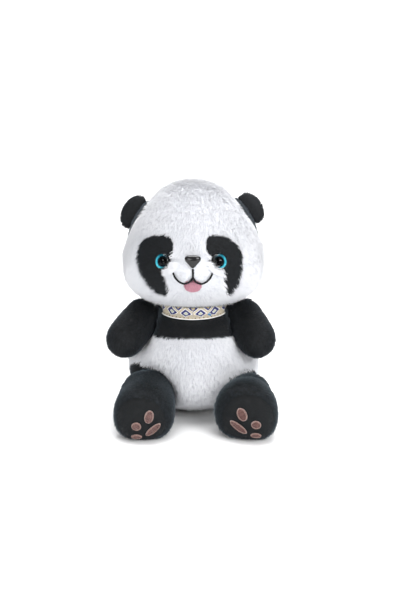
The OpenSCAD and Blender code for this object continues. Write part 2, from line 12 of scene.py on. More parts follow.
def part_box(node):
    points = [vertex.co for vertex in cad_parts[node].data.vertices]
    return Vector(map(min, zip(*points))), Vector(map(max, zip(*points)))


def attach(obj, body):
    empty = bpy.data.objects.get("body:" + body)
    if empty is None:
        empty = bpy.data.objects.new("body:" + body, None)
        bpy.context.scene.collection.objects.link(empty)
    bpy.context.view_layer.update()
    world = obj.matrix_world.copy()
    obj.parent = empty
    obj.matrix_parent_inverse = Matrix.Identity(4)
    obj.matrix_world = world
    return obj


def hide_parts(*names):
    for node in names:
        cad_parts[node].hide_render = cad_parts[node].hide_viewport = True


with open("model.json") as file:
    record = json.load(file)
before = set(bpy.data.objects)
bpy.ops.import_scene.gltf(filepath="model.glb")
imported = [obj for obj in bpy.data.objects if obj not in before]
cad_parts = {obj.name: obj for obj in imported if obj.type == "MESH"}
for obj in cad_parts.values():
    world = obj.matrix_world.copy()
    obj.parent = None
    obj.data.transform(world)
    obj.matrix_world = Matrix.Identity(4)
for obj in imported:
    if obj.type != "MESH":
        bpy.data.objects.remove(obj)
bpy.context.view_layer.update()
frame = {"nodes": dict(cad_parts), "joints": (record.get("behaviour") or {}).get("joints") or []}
NODES = frame["nodes"]
SIDES = (("left", 1), ("right", -1))
MM = 0.001
DOWN = np.array([0, 0, -1.0])
rng = np.random.default_rng(7)


# ---- small helpers ----

def unit(v):
    v = np.asarray(v, float)
    return v / np.maximum(np.linalg.norm(v, axis=-1, keepdims=True), 1e-12)


def smooth_step(x, low, high):
    t = np.clip((x - low) / (high - low), 0, 1)
    return t * t * (3 - 2 * t)


def box(*nodes):
    """Lowest and highest corner of one or more CAD nodes."""
    lows, highs = zip(*[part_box(node) for node in nodes])
    return np.min(lows, axis=0), np.max(highs, axis=0)


def middle(node):
    low, high = box(node)
    return (low + high) / 2


def joint_place(name):
    return np.array(next(j for j in frame["joints"] if j["name"] == name)["pos_m"], float)


def read(items, key, width, kind=float):
    """One property of all items of a mesh, as rows of width numbers."""
    values = np.empty(len(items) * width, kind)
    items.foreach_get(key, values)
    return values.reshape(-1, width)


def triangles(mesh):
    mesh.calc_loop_triangles()
    return read(mesh.loop_triangles, "vertices", 3, np.int32)


def coords(obj):
    return read(obj.data.vertices, "co", 3)


def vertex_normals(obj):
    return read(obj.data.vertices, "normal", 3)


def set_coords(obj, v):
    obj.data.vertices.foreach_set("co", np.asarray(v, np.float64).ravel())
    obj.data.update()


def node_arrays(*names):
    """Vertices and triangles of CAD nodes, as one mesh."""
    verts, tris, base = [], [], 0
    for name in names:
        verts.append(coords(NODES[name]))
        tris.append(triangles(NODES[name].data) + base)
        base += len(verts[-1])
    return np.concatenate(verts), np.concatenate(tris)


def tree(*names):
    verts, tris = node_arrays(*names)
    return BVHTree.FromPolygons(verts.tolist(), tris.tolist())


def linked(name, data):
    obj = bpy.data.objects.new(name, data)
    bpy.context.collection.objects.link(obj)
    return obj


def new_object(name, verts, faces):
    mesh = bpy.data.meshes.new(name)
    mesh.from_pydata([tuple(v) for v in verts], [], [tuple(f) for f in faces])
    mesh.update()
    mesh.shade_smooth()
    return linked(name, mesh)


def float_attribute(mesh, name, values):
    attr = mesh.attributes.get(name) or mesh.attributes.new(name, "FLOAT", "POINT")
    attr.data.foreach_set("value", np.asarray(values, np.float32))


def apply_modifiers(obj):
    graph = bpy.context.evaluated_depsgraph_get()
    done = bpy.data.meshes.new_from_object(obj.evaluated_get(graph))
    obj.modifiers.clear()
    obj.data = done


def thicken(obj, thickness):
    """Gives a sheet its thickness, half to each side."""
    solid = obj.modifiers.new("thickness", "SOLIDIFY")
    solid.thickness = thickness
    solid.offset = 0
    apply_modifiers(obj)


def dress(obj, mat, body, slot, *nodes):
    """Gives a piece its material and its body, and hides the CAD nodes that it stands for. The slot argument is not
    used.
    """
    obj.data.materials.append(mat)
    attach(obj, body)
    if nodes:
        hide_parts(*nodes)


def waves(p, scale, seed, n=5):
    """Smooth seeded noise from a few sine waves, about -1 to 1, at points p."""
    r = np.random.default_rng(seed)
    k = unit(r.normal(size=(n, 3))) * r.uniform(0.6, 1.5, (n, 1)) / scale
    phase = r.uniform(0, 6.28, n)
    return np.sin(p @ k.T + phase).sum(axis=1) / n * 1.6


# ---- camera and lights ----

VIEW_UP = math.radians(10)
VIEW_DISTANCE = 0.700
VIEW_HALF_HEIGHT = 0.300
LOOK_AT = Vector((0.0065, 0, 0.112))


def aim_at(obj, target):
    obj.rotation_euler = (Vector(target) - obj.location).to_track_quat("-Z", "Y").to_euler()


def make_camera():
    data = bpy.data.cameras.new("camera")
    cam = linked("camera", data)
    cam.location = LOOK_AT + VIEW_DISTANCE * Vector((0, -math.cos(VIEW_UP), math.sin(VIEW_UP)))
    aim_at(cam, LOOK_AT)
    data.sensor_fit = "VERTICAL"
    data.angle = 2 * math.atan(VIEW_HALF_HEIGHT / VIEW_DISTANCE)
    bpy.context.scene.camera = cam


def area_light(name, loc, target, size, power):
    data = bpy.data.lights.new(name, "AREA")
    data.shape = "DISK"
    data.size = size
    data.energy = power
    light = linked(name, data)
    light.location = loc
    aim_at(light, target)


# ---- materials ----

def shader(name, **values):
    """A new node material and its node tree. The values are set on the Principled shader's own sockets."""
    mat = bpy.data.materials.new(name)
    mat.use_nodes = True
    for key, value in values.items():
        mat.node_tree.nodes["Principled BSDF"].inputs[key.replace("_", " ")].default_value = value
    return mat, mat.node_tree


def plug(t, socket, name="Base Color"):
    t.links.new(socket, t.nodes["Principled BSDF"].inputs[name])


def add(t, kind, **inputs):
    node = t.nodes.new(kind)
    for key, value in inputs.items():
        node.inputs[key].default_value = value
    return node


def texture(t, kind, **inputs):
    """A texture node on the object's own coordinates."""
    node = add(t, kind, **inputs)
    t.links.new(t.nodes.new("ShaderNodeTexCoord").outputs["Object"], node.inputs["Vector"])
    return node


def noise(t, scale, detail=3.0):
    return texture(t, "ShaderNodeTexNoise", Scale=scale, Detail=detail, Roughness=0.5).outputs["Fac"]


def attribute(t, name):
    node = t.nodes.new("ShaderNodeAttribute")
    node.attribute_name = name
    return node.outputs["Fac"]


def ramp(t, fac, stops, interpolation="LINEAR"):
    node = t.nodes.new("ShaderNodeValToRGB")
    node.color_ramp.interpolation = interpolation
    while len(node.color_ramp.elements) < len(stops):
        node.color_ramp.elements.new(0.5)
    for element, (at, color) in zip(node.color_ramp.elements, stops):
        element.position = at
        element.color = (*color, 1)
    t.links.new(fac, node.inputs["Fac"])
    return node.outputs["Color"]


def below(t, value, edge):
    """1 where the value is under the edge, and 0 over it."""
    return ramp(t, value, [(0, (1, 1, 1)), (edge, (0, 0, 0))], "CONSTANT")


def mix(t, fac, a, b, blend="MIX"):
    node = t.nodes.new("ShaderNodeMix")
    node.data_type = "RGBA"
    node.blend_type = blend
    for socket, value in (("Factor", fac), ("A", a), ("B", b)):
        target = next(i for i in node.inputs if i.name == socket and i.enabled)
        if isinstance(value, bpy.types.NodeSocket):
            t.links.new(value, target)
        else:
            target.default_value = (*value, 1) if isinstance(value, tuple) else value
    return next(o for o in node.outputs if o.enabled)


def bump(t, height, strength, distance):
    node = add(t, "ShaderNodeBump", Strength=strength, Distance=distance)
    t.links.new(height, node.inputs["Height"])
    plug(t, node.outputs["Normal"], "Normal")


def pile(name, root, tip, rough, sheen, sheen_tint, spread=0.16):
    """Pile strand: darker at the root, which is painted shade deep in the pile, with each strand's own tint and soft
    blotches over the toy.
    """
    mat, t = shader(name, Roughness=rough, Sheen_Weight=sheen, Sheen_Roughness=0.4, Sheen_Tint=(*sheen_tint, 1),
                    Specular_IOR_Level=0.25)
    # Painted shade: the root colour, darker than the tip, stands in for shade deep in the pile.
    base = ramp(t, attribute(t, "along"), [(0.0, root), (0.55, tip), (1.0, tip)])
    low = 1 - spread
    own = ramp(t, attribute(t, "tint"), [(0.0, (low, low, low * 1.01)), (0.5, (1, 1, 1)), (1.0, (1, 1, 1))])
    blotch = ramp(t, noise(t, 38.0), [(0.3, (0.93, 0.935, 0.94)), (0.62, (1, 1, 1))])
    plug(t, mix(t, 1.0, mix(t, 1.0, base, own, "MULTIPLY"), blotch, "MULTIPLY"))
    return mat


def backing(name, light, dark=None):
    """Knitted backing cloth under the pile. Attribute dark goes from the light to the dark cloth."""
    mat, t = shader(name, Roughness=0.9, Sheen_Weight=0.2)
    grain = noise(t, 900.0, 2.0)
    color = ramp(t, grain, [(0.3, tuple(c * 0.82 for c in light)), (0.7, light)])
    if dark:
        night = ramp(t, grain, [(0.3, tuple(c * 0.7 for c in dark)), (0.7, dark)])
        color = mix(t, attribute(t, "dark"), color, night)
    plug(t, color)
    bump(t, grain, 0.4, 0.0004)
    return mat


def speckled(name, a, b, scale, rough, bump_strength=0.2, bump_distance=0.0003, **values):
    """Plain material with fine two-colour grain and matching bump, for plastic, lining and tape."""
    mat, t = shader(name, Roughness=rough, **values)
    grain = noise(t, scale)
    plug(t, ramp(t, grain, [(0.35, a), (0.65, b)]))
    bump(t, grain, bump_strength, bump_distance)
    return mat


# ---- stuffed skins ----

RAY_REACH = 0.25
PUFF_FRAMES = 20
PUFF_SETTINGS = {"quality": 4, "use_pressure": True, "uniform_pressure_force": 4, "tension_stiffness": 10,
                 "compression_stiffness": 10, "bending_stiffness": 0.3}


def grid_form(bvh, a, b, nu, cap_rows, tube_rows):
    """Closed grid over a star-shaped CAD form: rays from outside towards the spine a-b find its outermost surface.

    Where a ray misses or slips through a gap between panels, the distance before it is used again.
    """
    a, b = np.array(a, float), np.array(b, float)
    axis = unit(b - a) if np.linalg.norm(b - a) > 1e-6 else np.array([0.0, 0.0, 1.0])
    side = unit(np.cross(axis, (0, 0, 1)) if abs(axis[2]) < 0.9 else np.array([1.0, 0.0, 0.0]))
    top = np.cross(axis, side)
    rows = [(a, lat) for lat in np.linspace(-90, 0, cap_rows + 1)]
    rows += [(a + (b - a) * k / (tube_rows + 1), 0) for k in range(1, tube_rows + 1)]
    rows += [(b, lat) for lat in np.linspace(0, 90, cap_rows + 1)][0 if tube_rows or axis[2] < 0.9 else 1:]
    verts, starts, last = [], [], 0.004
    for centre, lat in rows:
        starts.append(len(verts))
        rise, spread = math.sin(math.radians(lat)), math.cos(math.radians(lat))
        for i in [0] if abs(lat) == 90 else range(nu):
            u = 2 * math.pi * i / nu
            d = axis * rise + (side * math.cos(u) + top * math.sin(u)) * spread
            hit = bvh.ray_cast(Vector(centre + d * RAY_REACH), Vector(-d), RAY_REACH)[0]
            if hit and np.dot(np.array(hit) - centre, d) > 0.5 * last:
                last = np.linalg.norm(np.array(hit) - centre)
            verts.append(centre + d * last)
    faces = []
    for k in range(len(rows) - 1):
        p, q = starts[k], starts[k + 1]
        for i in range(nu):
            j = (i + 1) % nu
            if abs(rows[k][1]) == 90:
                faces.append((p, q + j, q + i))
            elif abs(rows[k + 1][1]) == 90:
                faces.append((p + i, p + j, q))
            else:
                faces.append((p + i, p + j, q + j, q + i))
    return verts, faces


def relax(obj, times):
    """Laplacian smoothing, each step halfway to the neighbours' mean."""
    edges = read(obj.data.edges, "vertices", 2, np.int32)
    v = coords(obj)
    count = np.bincount(edges.ravel(), minlength=len(v))[:, None]
    for _ in range(times):
        total = np.zeros_like(v)
        np.add.at(total, edges[:, 0], v[edges[:, 1]])
        np.add.at(total, edges[:, 1], v[edges[:, 0]])
        v += (total / count - v) * 0.5
    set_coords(obj, v)


def puff(obj, cap):
    """Cloth pressure fills the skin like its stuffing does. No point moves further than cap."""
    start = coords(obj)
    mod = obj.modifiers.new("pressure", "CLOTH")
    for key, value in PUFF_SETTINGS.items():
        setattr(mod.settings, key, value)
    mod.settings.effector_weights.gravity = 0
    mod.point_cache.frame_start = 1
    mod.point_cache.frame_end = PUFF_FRAMES
    for f in range(1, PUFF_FRAMES + 1):
        bpy.context.scene.frame_set(f)
    apply_modifiers(obj)
    bpy.context.scene.frame_set(1)
    move = coords(obj) - start
    far = np.linalg.norm(move, axis=1, keepdims=True)
    set_coords(obj, start + move * np.minimum(1, cap / np.maximum(far, 1e-9)))


def skin(name, body, nodes, a, b, grid, slot, mat, sink=1.0, cap=1.2, soften=3, shape=None, hidden=()):
    """The stuffed cloth form of one body: it replaces the CAD panels and rides on their body."""
    obj = new_object(name, *grid_form(tree(*nodes), a, b, *grid))
    relax(obj, soften)
    if shape:
        set_coords(obj, shape(coords(obj)))
    set_coords(obj, coords(obj) - vertex_normals(obj) * (sink + cap * 0.6) * MM)
    puff(obj, cap * MM)
    sub = obj.modifiers.new("subdivision", "SUBSURF")
    sub.levels = sub.render_levels = 1
    apply_modifiers(obj)
    obj.data.shade_smooth()
    dress(obj, mat, body, slot, *nodes, *hidden)
    return obj


# ---- pile strands ----

STRAND_FACES = ((0, 1, 4, 3), (1, 2, 5, 4), (2, 0, 3, 5), (3, 4, 6), (4, 5, 6), (5, 3, 6), (0, 2, 1))
STRAND_UV = np.array([(0.15, 0.12), (0.5, 0.05), (0.85, 0.12), (0.2, 0.5), (0.5, 0.45), (0.8, 0.5), (0.5, 0.93)])
STRAND_ALONG = np.array([0, 0, 0, 0.5, 0.5, 0.5, 1.0])
THIRD_TURN = 2.0944
ROOT_DEPTH = 0.5 * MM
WAIST = 0.72
TUFT_REACH = 6 * MM
PIECE_STRANDS = 19000
FLOOR_CLEAR = 0.3 * MM


def sample(obj, count, keep=None):
    """Seeded points over a skin with its smooth normals, as many per area everywhere."""
    tri = triangles(obj.data)
    v, n = coords(obj), vertex_normals(obj)
    if keep is not None:
        tri = tri[keep(v[tri].mean(axis=1))]
    area = np.linalg.norm(np.cross(v[tri[:, 1]] - v[tri[:, 0]], v[tri[:, 2]] - v[tri[:, 0]]), axis=1) / 2
    pick = rng.choice(len(tri), count, p=area / area.sum())
    r1, r2 = np.sqrt(rng.random(count)), rng.random(count)
    w = np.stack([1 - r1, r1 * (1 - r2), r1 * r2], axis=1)[:, :, None]
    return (v[tri[pick]] * w).sum(axis=1), unit((n[tri[pick]] * w).sum(axis=1))


def clearance(p, n, bvh, most):
    """How far each point can go along its normal before it meets the tree."""
    out = np.full(len(p), most)
    for i in range(len(p)):
        hit = bvh.ray_cast(Vector(p[i]), Vector(n[i]), most)
        if hit[3] is not None:
            out[i] = hit[3]
    return out


def open_points(obj, count, bvh, most, least, keep=None):
    """Sampled points, normals and clearances, where the tree leaves at least so many millimetres free."""
    p, n = sample(obj, count, keep)
    way = clearance(p, n, bvh, most)
    seen = way > least * MM
    return p[seen], n[seen], way[seen]


def lay(n, flow):
    """The part of the flow that lies along the surface, as a unit vector."""
    flow = np.broadcast_to(np.asarray(flow, float), n.shape)
    return unit(flow - n * (flow * n).sum(axis=1, keepdims=True) + 1e-9)


def beside(p, n, bvh, most=0.006):
    """Sideways distance of each surface point from a solid that lies on the surface."""
    out = np.full(len(p), most)
    for i in range(len(p)):
        near = bvh.find_nearest(Vector(p[i]), most)[0]
        if near is not None:
            away = np.array(near) - p[i]
            away -= n[i] * (away @ n[i])
            out[i] = np.linalg.norm(away)
    return out


def push_out(points, solids):
    """Moves points that lie inside a solid to just above its surface."""
    for bvh, centre, reach in solids:
        for i in np.where(np.linalg.norm(points - centre, axis=1) < reach)[0]:
            near, normal, _, _ = bvh.find_nearest(Vector(points[i]))
            if (Vector(points[i]) - near).dot(normal) < 0.3 * MM:
                points[i] = np.array(near) + np.array(normal) * 0.35 * MM
    return points


def tufted(p, mid, tip, clump, pull):
    """Draws strands towards the nearest tuft's middle strand, the tips more than their middles."""
    count = len(p)
    heads = rng.permutation(count)[:max(1, count // clump)]
    finder = KDTree(len(heads))
    for k, i in enumerate(heads):
        finder.insert(Vector(p[i]), k)
    finder.balance()
    head_of = heads[[finder.find(Vector(q))[1] for q in p]]
    near = np.linalg.norm(p[head_of] - p, axis=1) < TUFT_REACH
    strength = (rng.uniform(*pull, count) * near)[:, None]
    tip = tip + (tip[head_of] - tip) * strength
    return mid + (mid[head_of] - mid) * strength * 0.45, tip


def strands(name, body, slot, mat, p, n, flow, length, at=slice(None), lean=(44, 62), width=0.25, clump=12,
            pull=(0.15, 0.5), stray=0.16, sag=0.0, swirl=0.14, solids=(), over=1.6):
    """Closed three-sided tapering strands on the points `at`, each leaning along the flow and drawn into tufts.

    Tips hang down by sag. A strand whose tip would lie more than `over` mm inside one of the solids is left out.
    """
    length, sag = (np.broadcast_to(value, len(p))[at] for value in (length, sag))
    p, n, flow = p[at], n[at], np.broadcast_to(np.asarray(flow, float), n.shape)[at]
    nap, count = lay(n, flow), len(p)
    length = length * rng.uniform(0.72, 1.12, count)
    wild = lay(n, rng.normal(size=(count, 3)))
    curl = waves(p, 0.024, 11)[:, None] * np.cross(n, nap) * swirl
    g = unit(nap + curl + wild * stray * 2)
    low_lean = np.radians(lean[0] + rng.normal(0, 7, count))[:, None]
    high_lean = np.radians(np.minimum(lean[1] + rng.normal(0, 9, count), 88))[:, None]
    half = (length / 2)[:, None]
    mid = p + (n * np.cos(low_lean) + g * np.sin(low_lean)) * half
    tip = mid + (n * np.cos(high_lean) + g * np.sin(high_lean)) * half
    mid, tip = tufted(p, mid, tip, clump, pull)
    droop = sag[:, None] * DOWN
    free_tip = tip + droop
    mid, tip = push_out(mid + droop * 0.35, solids), push_out(free_tip.copy(), solids)
    keep = np.linalg.norm(tip - free_tip, axis=1) < over * MM
    p, n, mid, tip, count = p[keep], n[keep], mid[keep], tip[keep], int(keep.sum())
    ahead = unit(tip - p)
    s = unit(np.cross(ahead, n) + 1e-9)
    t = np.cross(ahead, s)
    radius = width * MM * rng.uniform(0.75, 1.25, count)[:, None]
    turn = rng.uniform(0, 6.28, count)
    verts = np.empty((count, 7, 3))
    normals = np.empty((count, 7, 3))
    for k in range(3):
        a = (turn + k * THIRD_TURN)[:, None]
        out = s * np.cos(a) + t * np.sin(a)
        verts[:, k] = p - n * ROOT_DEPTH + out * radius
        verts[:, k + 3] = mid + out * radius * WAIST
        normals[:, k] = normals[:, k + 3] = unit(n * 0.72 + out * 0.28)
    verts[:, 6] = tip
    normals[:, 6] = n
    verts[:, :, 2] = np.maximum(verts[:, :, 2], FLOOR_CLEAR)
    tint = rng.random(count)
    order = np.argsort(np.arctan2(p[:, 0] - p[:, 0].mean(), p[:, 1] - p[:, 1].mean()), kind="stable")
    parts = max(1, math.ceil(count / PIECE_STRANDS))
    made = []
    for number, ids in enumerate(np.array_split(order, parts)):
        label = name if parts == 1 else f"{name}_{number}"
        made.append(strand_piece(label, verts[ids], normals[ids], tint[ids]))
        dress(made[-1], mat, body, slot)
    return made


def strand_piece(name, verts, normals, tint):
    count = len(verts)
    mesh = bpy.data.meshes.new(name)
    mesh.vertices.add(count * 7)
    mesh.vertices.foreach_set("co", verts.ravel())
    corners = np.array([i for f in STRAND_FACES for i in f])
    sizes = np.array([len(f) for f in STRAND_FACES])
    starts = np.concatenate([[0], np.cumsum(sizes)[:-1]])
    base = np.arange(count)[:, None]
    mesh.loops.add(count * len(corners))
    mesh.loops.foreach_set("vertex_index", (base * 7 + corners).ravel().astype(np.int32))
    mesh.polygons.add(count * len(sizes))
    mesh.polygons.foreach_set("loop_start", (base * len(corners) + starts).ravel().astype(np.int32))
    across = math.ceil(math.sqrt(count))
    cell = np.stack([base[:, 0] % across, base[:, 0] // across], axis=1)[:, None, :]
    uv = (cell + STRAND_UV[corners][None]) / across
    mesh.uv_layers.new(name="OFBake").data.foreach_set("uv", uv.ravel().astype(np.float32))
    mesh.update(calc_edges=True)
    mesh.shade_smooth()
    float_attribute(mesh, "along", np.tile(STRAND_ALONG, count))
    float_attribute(mesh, "tint", np.repeat(tint, 7))
    mesh.normals_split_custom_set_from_vertices(normals.reshape(-1, 3))
    return linked(name, mesh)


# ---- the toy ----

make_camera()
bpy.context.scene.view_settings.view_transform = "Standard"

# Each pile's first colour, at its strands' roots, is painted shade deep in the pile; the second is its tips' own
# colour.
white_pile = pile("white_pile", (0.74, 0.76, 0.81), (0.90, 0.91, 0.94), 0.85, 0.4, (1, 1, 1), 0.08)
black_pile = pile("black_pile", (0.003, 0.0035, 0.004), (0.012, 0.014, 0.017), 0.6, 0.25, (0.5, 0.6, 0.7), 0.55)
# The legs' pile is a lighter copy of the black pile: its lighter tips and roots are painted sheen.
sheen_painted_leg_pile = pile("sheen_painted_leg_pile", (0.004, 0.005, 0.006), (0.019, 0.024, 0.029), 0.6, 0.3, (0.5, 0.62, 0.72), 0.6)
sole_pile = pile("sole_pile", (0.004, 0.005, 0.006), (0.015, 0.018, 0.021), 0.65, 0.2, (0.5, 0.6, 0.7), 0.4)
pink_pile = pile("pink_pile", (0.42, 0.13, 0.18), (0.68, 0.33, 0.40), 0.8, 0.3, (1, 0.85, 0.9), 0.2)
head_backing = backing("head_backing", (0.84, 0.86, 0.90), (0.006, 0.007, 0.008))
black_backing = backing("black_backing", (0.005, 0.006, 0.007))

HEAD_NODES = ("forehead_gusset", "cheek_panel_left", "cheek_panel_right", "muzzle_panel", "head_back_left",
              "head_back_right")
TORSO_NODES = ("chest_panel", "belly_panel", "back_upper_panel", "back_lower_panel", "seat_panel")
ARM = {side: (f"arm_outer_{side}", f"arm_inner_{side}") for side, _ in SIDES}
LEG = {side: (f"leg_upper_{side}", f"leg_under_{side}", f"sole_panel_{side}") for side, _ in SIDES}
EAR = {side: (f"ear_front_{side}", f"ear_back_{side}") for side, _ in SIDES}

# Strands sown on each form, before those with no room are left out, and how long the pile is in metres.
SOWN = {"head": 66000, "patch": 30000, "brow": 16000, "torso": 62000, "shoulder": 16000, "arm": 15000, "leg": 25000,
        "ear": 5600, "tail": 2600, "tongue": 5200, "root": 1600, "neck": 4200}
LONG = {"head": 0.0076, "muzzle": 0.0036, "ear_root": 0.0045, "patch": 0.0046, "brow": 0.0078, "torso": 0.0068,
        "shoulder": 0.0115, "arm": 0.0056, "leg": 0.0054, "sole": 0.0022, "ear": 0.0030, "tail": 0.0065,
        "tongue": 0.0016, "root": 0.0028, "neck": 0.0036}

head_low, head_high = box(*HEAD_NODES)
HEAD_MIDDLE = np.array([0, 0, head_low[2] + 0.042])
TORSO_MIDDLE = np.array([0, 0, 0.054])
PAW_RADIUS = 0.0185
HEAD_TREE = tree(*HEAD_NODES)
EAR_LIFT = 0.9 * MM


def lift_front(v):
    """The belly's lower front rolls up off the floor between the legs."""
    front = smooth_step(-v[:, 1], 0.0, 0.02) * smooth_step(0.030 - v[:, 2], 0, 0.03)
    v[:, 2] += front * 0.0055
    return v


def drawn_to_head(points):
    """The underside of an ear drawn down onto the head, so that its whole edge meets it."""
    out = points.copy()
    for i, q in enumerate(points):
        near, normal, _, away = HEAD_TREE.find_nearest(Vector(q))
        share = 1 - smooth_step(away, 0.0035, 0.0085)
        out[i] = q + (np.array(near) + np.array(normal) * EAR_LIFT - q) * share
    return out


HIP_FILL = {1: 0.0012, -1: 0.0038}


def fuller_hip(points, sign, hip_y):
    """The outer side of a leg filled out by a few millimetres toward the hip."""
    side_on = smooth_step(points[:, 0] * sign - np.median(points[:, 0] * sign), 0.002, 0.018)
    back = smooth_step(points[:, 1], hip_y - 0.028, hip_y - 0.004)
    return points + np.array([sign, 0, 0.35]) * (side_on * back * HIP_FILL[sign])[:, None]


head_skin = skin("head_skin", "head", HEAD_NODES, HEAD_MIDDLE, HEAD_MIDDLE, (112, 28, 0), "white_pile", head_backing,
                 sink=0.5, soften=1, hidden=("head_stuffing",))
torso_skin = skin("torso_skin", "torso", TORSO_NODES, TORSO_MIDDLE, TORSO_MIDDLE, (128, 32, 0), "white_pile",
                  head_backing, cap=1.5, soften=6, shape=lift_front, hidden=("body_stuffing",))
skins = {}
for side, sign in SIDES:
    shoulder = joint_place(f"arm_raise_{side}")
    low, high = box(*ARM[side])
    paw = low + PAW_RADIUS
    paw[0] = sign * (max(abs(low[0]), abs(high[0])) - PAW_RADIUS)
    skins[f"arm_{side}"] = skin(f"arm_skin_{side}", f"arm_{side}", ARM[side], shoulder, paw, (40, 9, 6), "black_pile",
                                black_backing, sink=0.6, cap=1.0, soften=14, hidden=(f"arm_stuffing_{side}",))
    hip = joint_place(f"leg_spread_{side}")
    foot = middle(f"sole_panel_{side}")
    foot[0] -= sign * 0.003
    foot[1] = box(f"sole_panel_{side}")[0][1] + 0.023
    skins[f"leg_{side}"] = skin(f"leg_skin_{side}", f"leg_{side}", LEG[side], hip, foot, (52, 13, 7), "black_pile",
                                black_backing, sink=0.6, cap=0.8, hidden=(f"leg_stuffing_{side}",),
                                shape=lambda points, sign=sign, y=hip[1]: fuller_hip(points, sign, y))
    ear_mid = (middle(EAR[side][0]) + middle(EAR[side][1])) / 2
    skins[f"ear_{side}"] = skin(f"ear_skin_{side}", f"ear_{side}", EAR[side], ear_mid, ear_mid, (40, 10, 0),
                                "black_pile", black_backing, cap=0.5, soften=1, shape=drawn_to_head)
tail_mid = middle("tail") + np.array([0, -0.001, 0])
tail_skin = skin("tail_skin", "torso", ("tail",), tail_mid, tail_mid, (28, 7, 0), "white_pile", head_backing,
                 sink=0.6, cap=0.6, soften=1)


# ---- where the black cloth lies ----

PATCHES = {side: tree(f"eye_patch_{side}") for side, _ in SIDES}
EYES = {side: middle(f"eye_lens_{side}") for side, _ in SIDES}
lens_low, lens_high = box("eye_lens_left")
EYE_RADIUS = (lens_high[2] - lens_low[2]) / 2
LENSES = [(tree(f"eye_lens_{side}"), EYES[side], 0.012) for side, _ in SIDES]
NOSE_TREE = tree("nose")
EARS = tree(*EAR["left"], *EAR["right"])
EAR_ROOT = 12.5 * MM
SEAM_Z = box("belly_panel")[1][2]
THIGH_Y, THIGH_RADIUS = -0.030, 0.034


def by_side(p, left, right):
    """One value for the points on the toy's left, and another for those on its right."""
    return np.where(p[:, 0] > 0, left, right)


def eye_gap(p):
    return np.min([np.linalg.norm(p - eye, axis=1) for eye in EYES.values()], axis=0)


def on_patch(p, n):
    """Whether points of the head lie under an eye patch, with a slightly uneven edge."""
    inside = np.zeros(len(p), bool)
    edge = (0.5 + 0.5 * waves(p, 0.0016, 3)) * MM
    for side, sign in SIDES:
        near = np.where((p[:, 0] * sign > 0.008) & (p[:, 1] < 0) & (p[:, 2] < 0.19))[0]
        away = beside(p[near], n[near], PATCHES[side])
        over = clearance(p[near] - n[near] * 2 * MM, n[near], PATCHES[side], 0.009) < 0.009
        inside[near] = inside[near] | over | (away < edge[near] + 0.2 * MM)
    return inside


def near_ear(p):
    """Whether points of the head lie in the black ring where an ear is sewn in."""
    out = np.zeros(len(p), bool)
    ahead = smooth_step(-p[:, 1], -0.006, 0.010) * smooth_step(p[:, 2], 0.186, 0.206)
    edge = EAR_ROOT + ahead * 9 * MM + waves(p, 0.002, 8) * 0.7 * MM
    inner = by_side(p, 0.0350, 0.0380) + waves(p, 0.003, 5) * 0.8 * MM
    edge *= 0.3 + 0.7 * smooth_step(np.abs(p[:, 0]), inner, inner + 0.012)
    for i in np.where((np.abs(p[:, 0]) > inner) & (p[:, 2] > 0.17))[0]:
        out[i] = EARS.find_nearest(Vector(p[i]), edge[i])[0] is not None
    return out


def on_thigh(p):
    """Whether points of the body lie on the black cloth round a leg's root."""
    up = p[:, 2] - by_side(p, 0.015, 0.022)
    ragged = waves(p, 0.002, 9) * 0.02
    round_it = ((p[:, 1] - THIGH_Y) / THIGH_RADIUS) ** 2 + (up / THIGH_RADIUS) ** 2 < 1 + ragged
    return round_it & (np.abs(p[:, 0]) > by_side(p, 0.034, 0.026))


hv, tv = coords(head_skin), coords(torso_skin)
float_attribute(head_skin.data, "dark", on_patch(hv, vertex_normals(head_skin)) | near_ear(hv))
float_attribute(torso_skin.data, "dark",
                np.maximum(smooth_step(tv[:, 2], SEAM_Z - 0.0008, SEAM_Z + 0.0008), on_thigh(tv)))
float_attribute(tail_skin.data, "dark", np.zeros(len(tail_skin.data.vertices)))


# ---- head pile ----

WHORL = np.array([0.004, 0.030, head_high[2] - 0.004])
LENS_EDGE = EYE_RADIUS - 0.6 * MM
p, n, open_way = open_points(head_skin, SOWN["head"],
                             tree(*TORSO_NODES, "kerchief", "neck_stuffing", *ARM["left"], *ARM["right"]), 0.02, 1.3)
face = p[:, 1] < -0.02
nose_gap = beside(p, n, NOSE_TREE, 0.012)
mouth_gap = beside(p, n, tree("mouth_stitching"), 0.008)
tongue_gap = beside(p, n, tree("tongue"), 0.004)
patch_gap = np.min([beside(p, n, patch, 0.007) for patch in PATCHES.values()], axis=0)
ear_gap = np.array([(EARS.find_nearest(Vector(q), 0.020)[3] or 0.020) if q[2] > 0.165 else 0.020 for q in p])
root_ring = near_ear(p)
clear = (eye_gap(p) > LENS_EDGE) & (nose_gap > 0.3 * MM) & (mouth_gap > 0.25 * MM) & (tongue_gap > 0.3 * MM)
white = clear & ~on_patch(p, n) & ~root_ring
muzzle = 1 - smooth_step(np.hypot(p[:, 0] / 0.027, (p[:, 2] - 0.1455) / 0.021), 0.75, 1.15)
muzzle *= p[:, 1] < 0
chin = smooth_step(0.128 - p[:, 2], 0, 0.010) * face

# The nap runs down and back from the whorl, and outward over the face.
flow = p - WHORL + np.array([0, -0.03, 0])
low_face = 1 - smooth_step(p[:, 2], 0.128, 0.165)
flow[:, 1] = flow[:, 1] * (1 - low_face) + 0.03 * low_face
across = np.sign(p[:, 0]) * face * smooth_step(np.abs(p[:, 0]), 0.002, 0.012) * smooth_step(0.180 - p[:, 2], 0, 0.02)
flow[:, 0] += across * 0.07

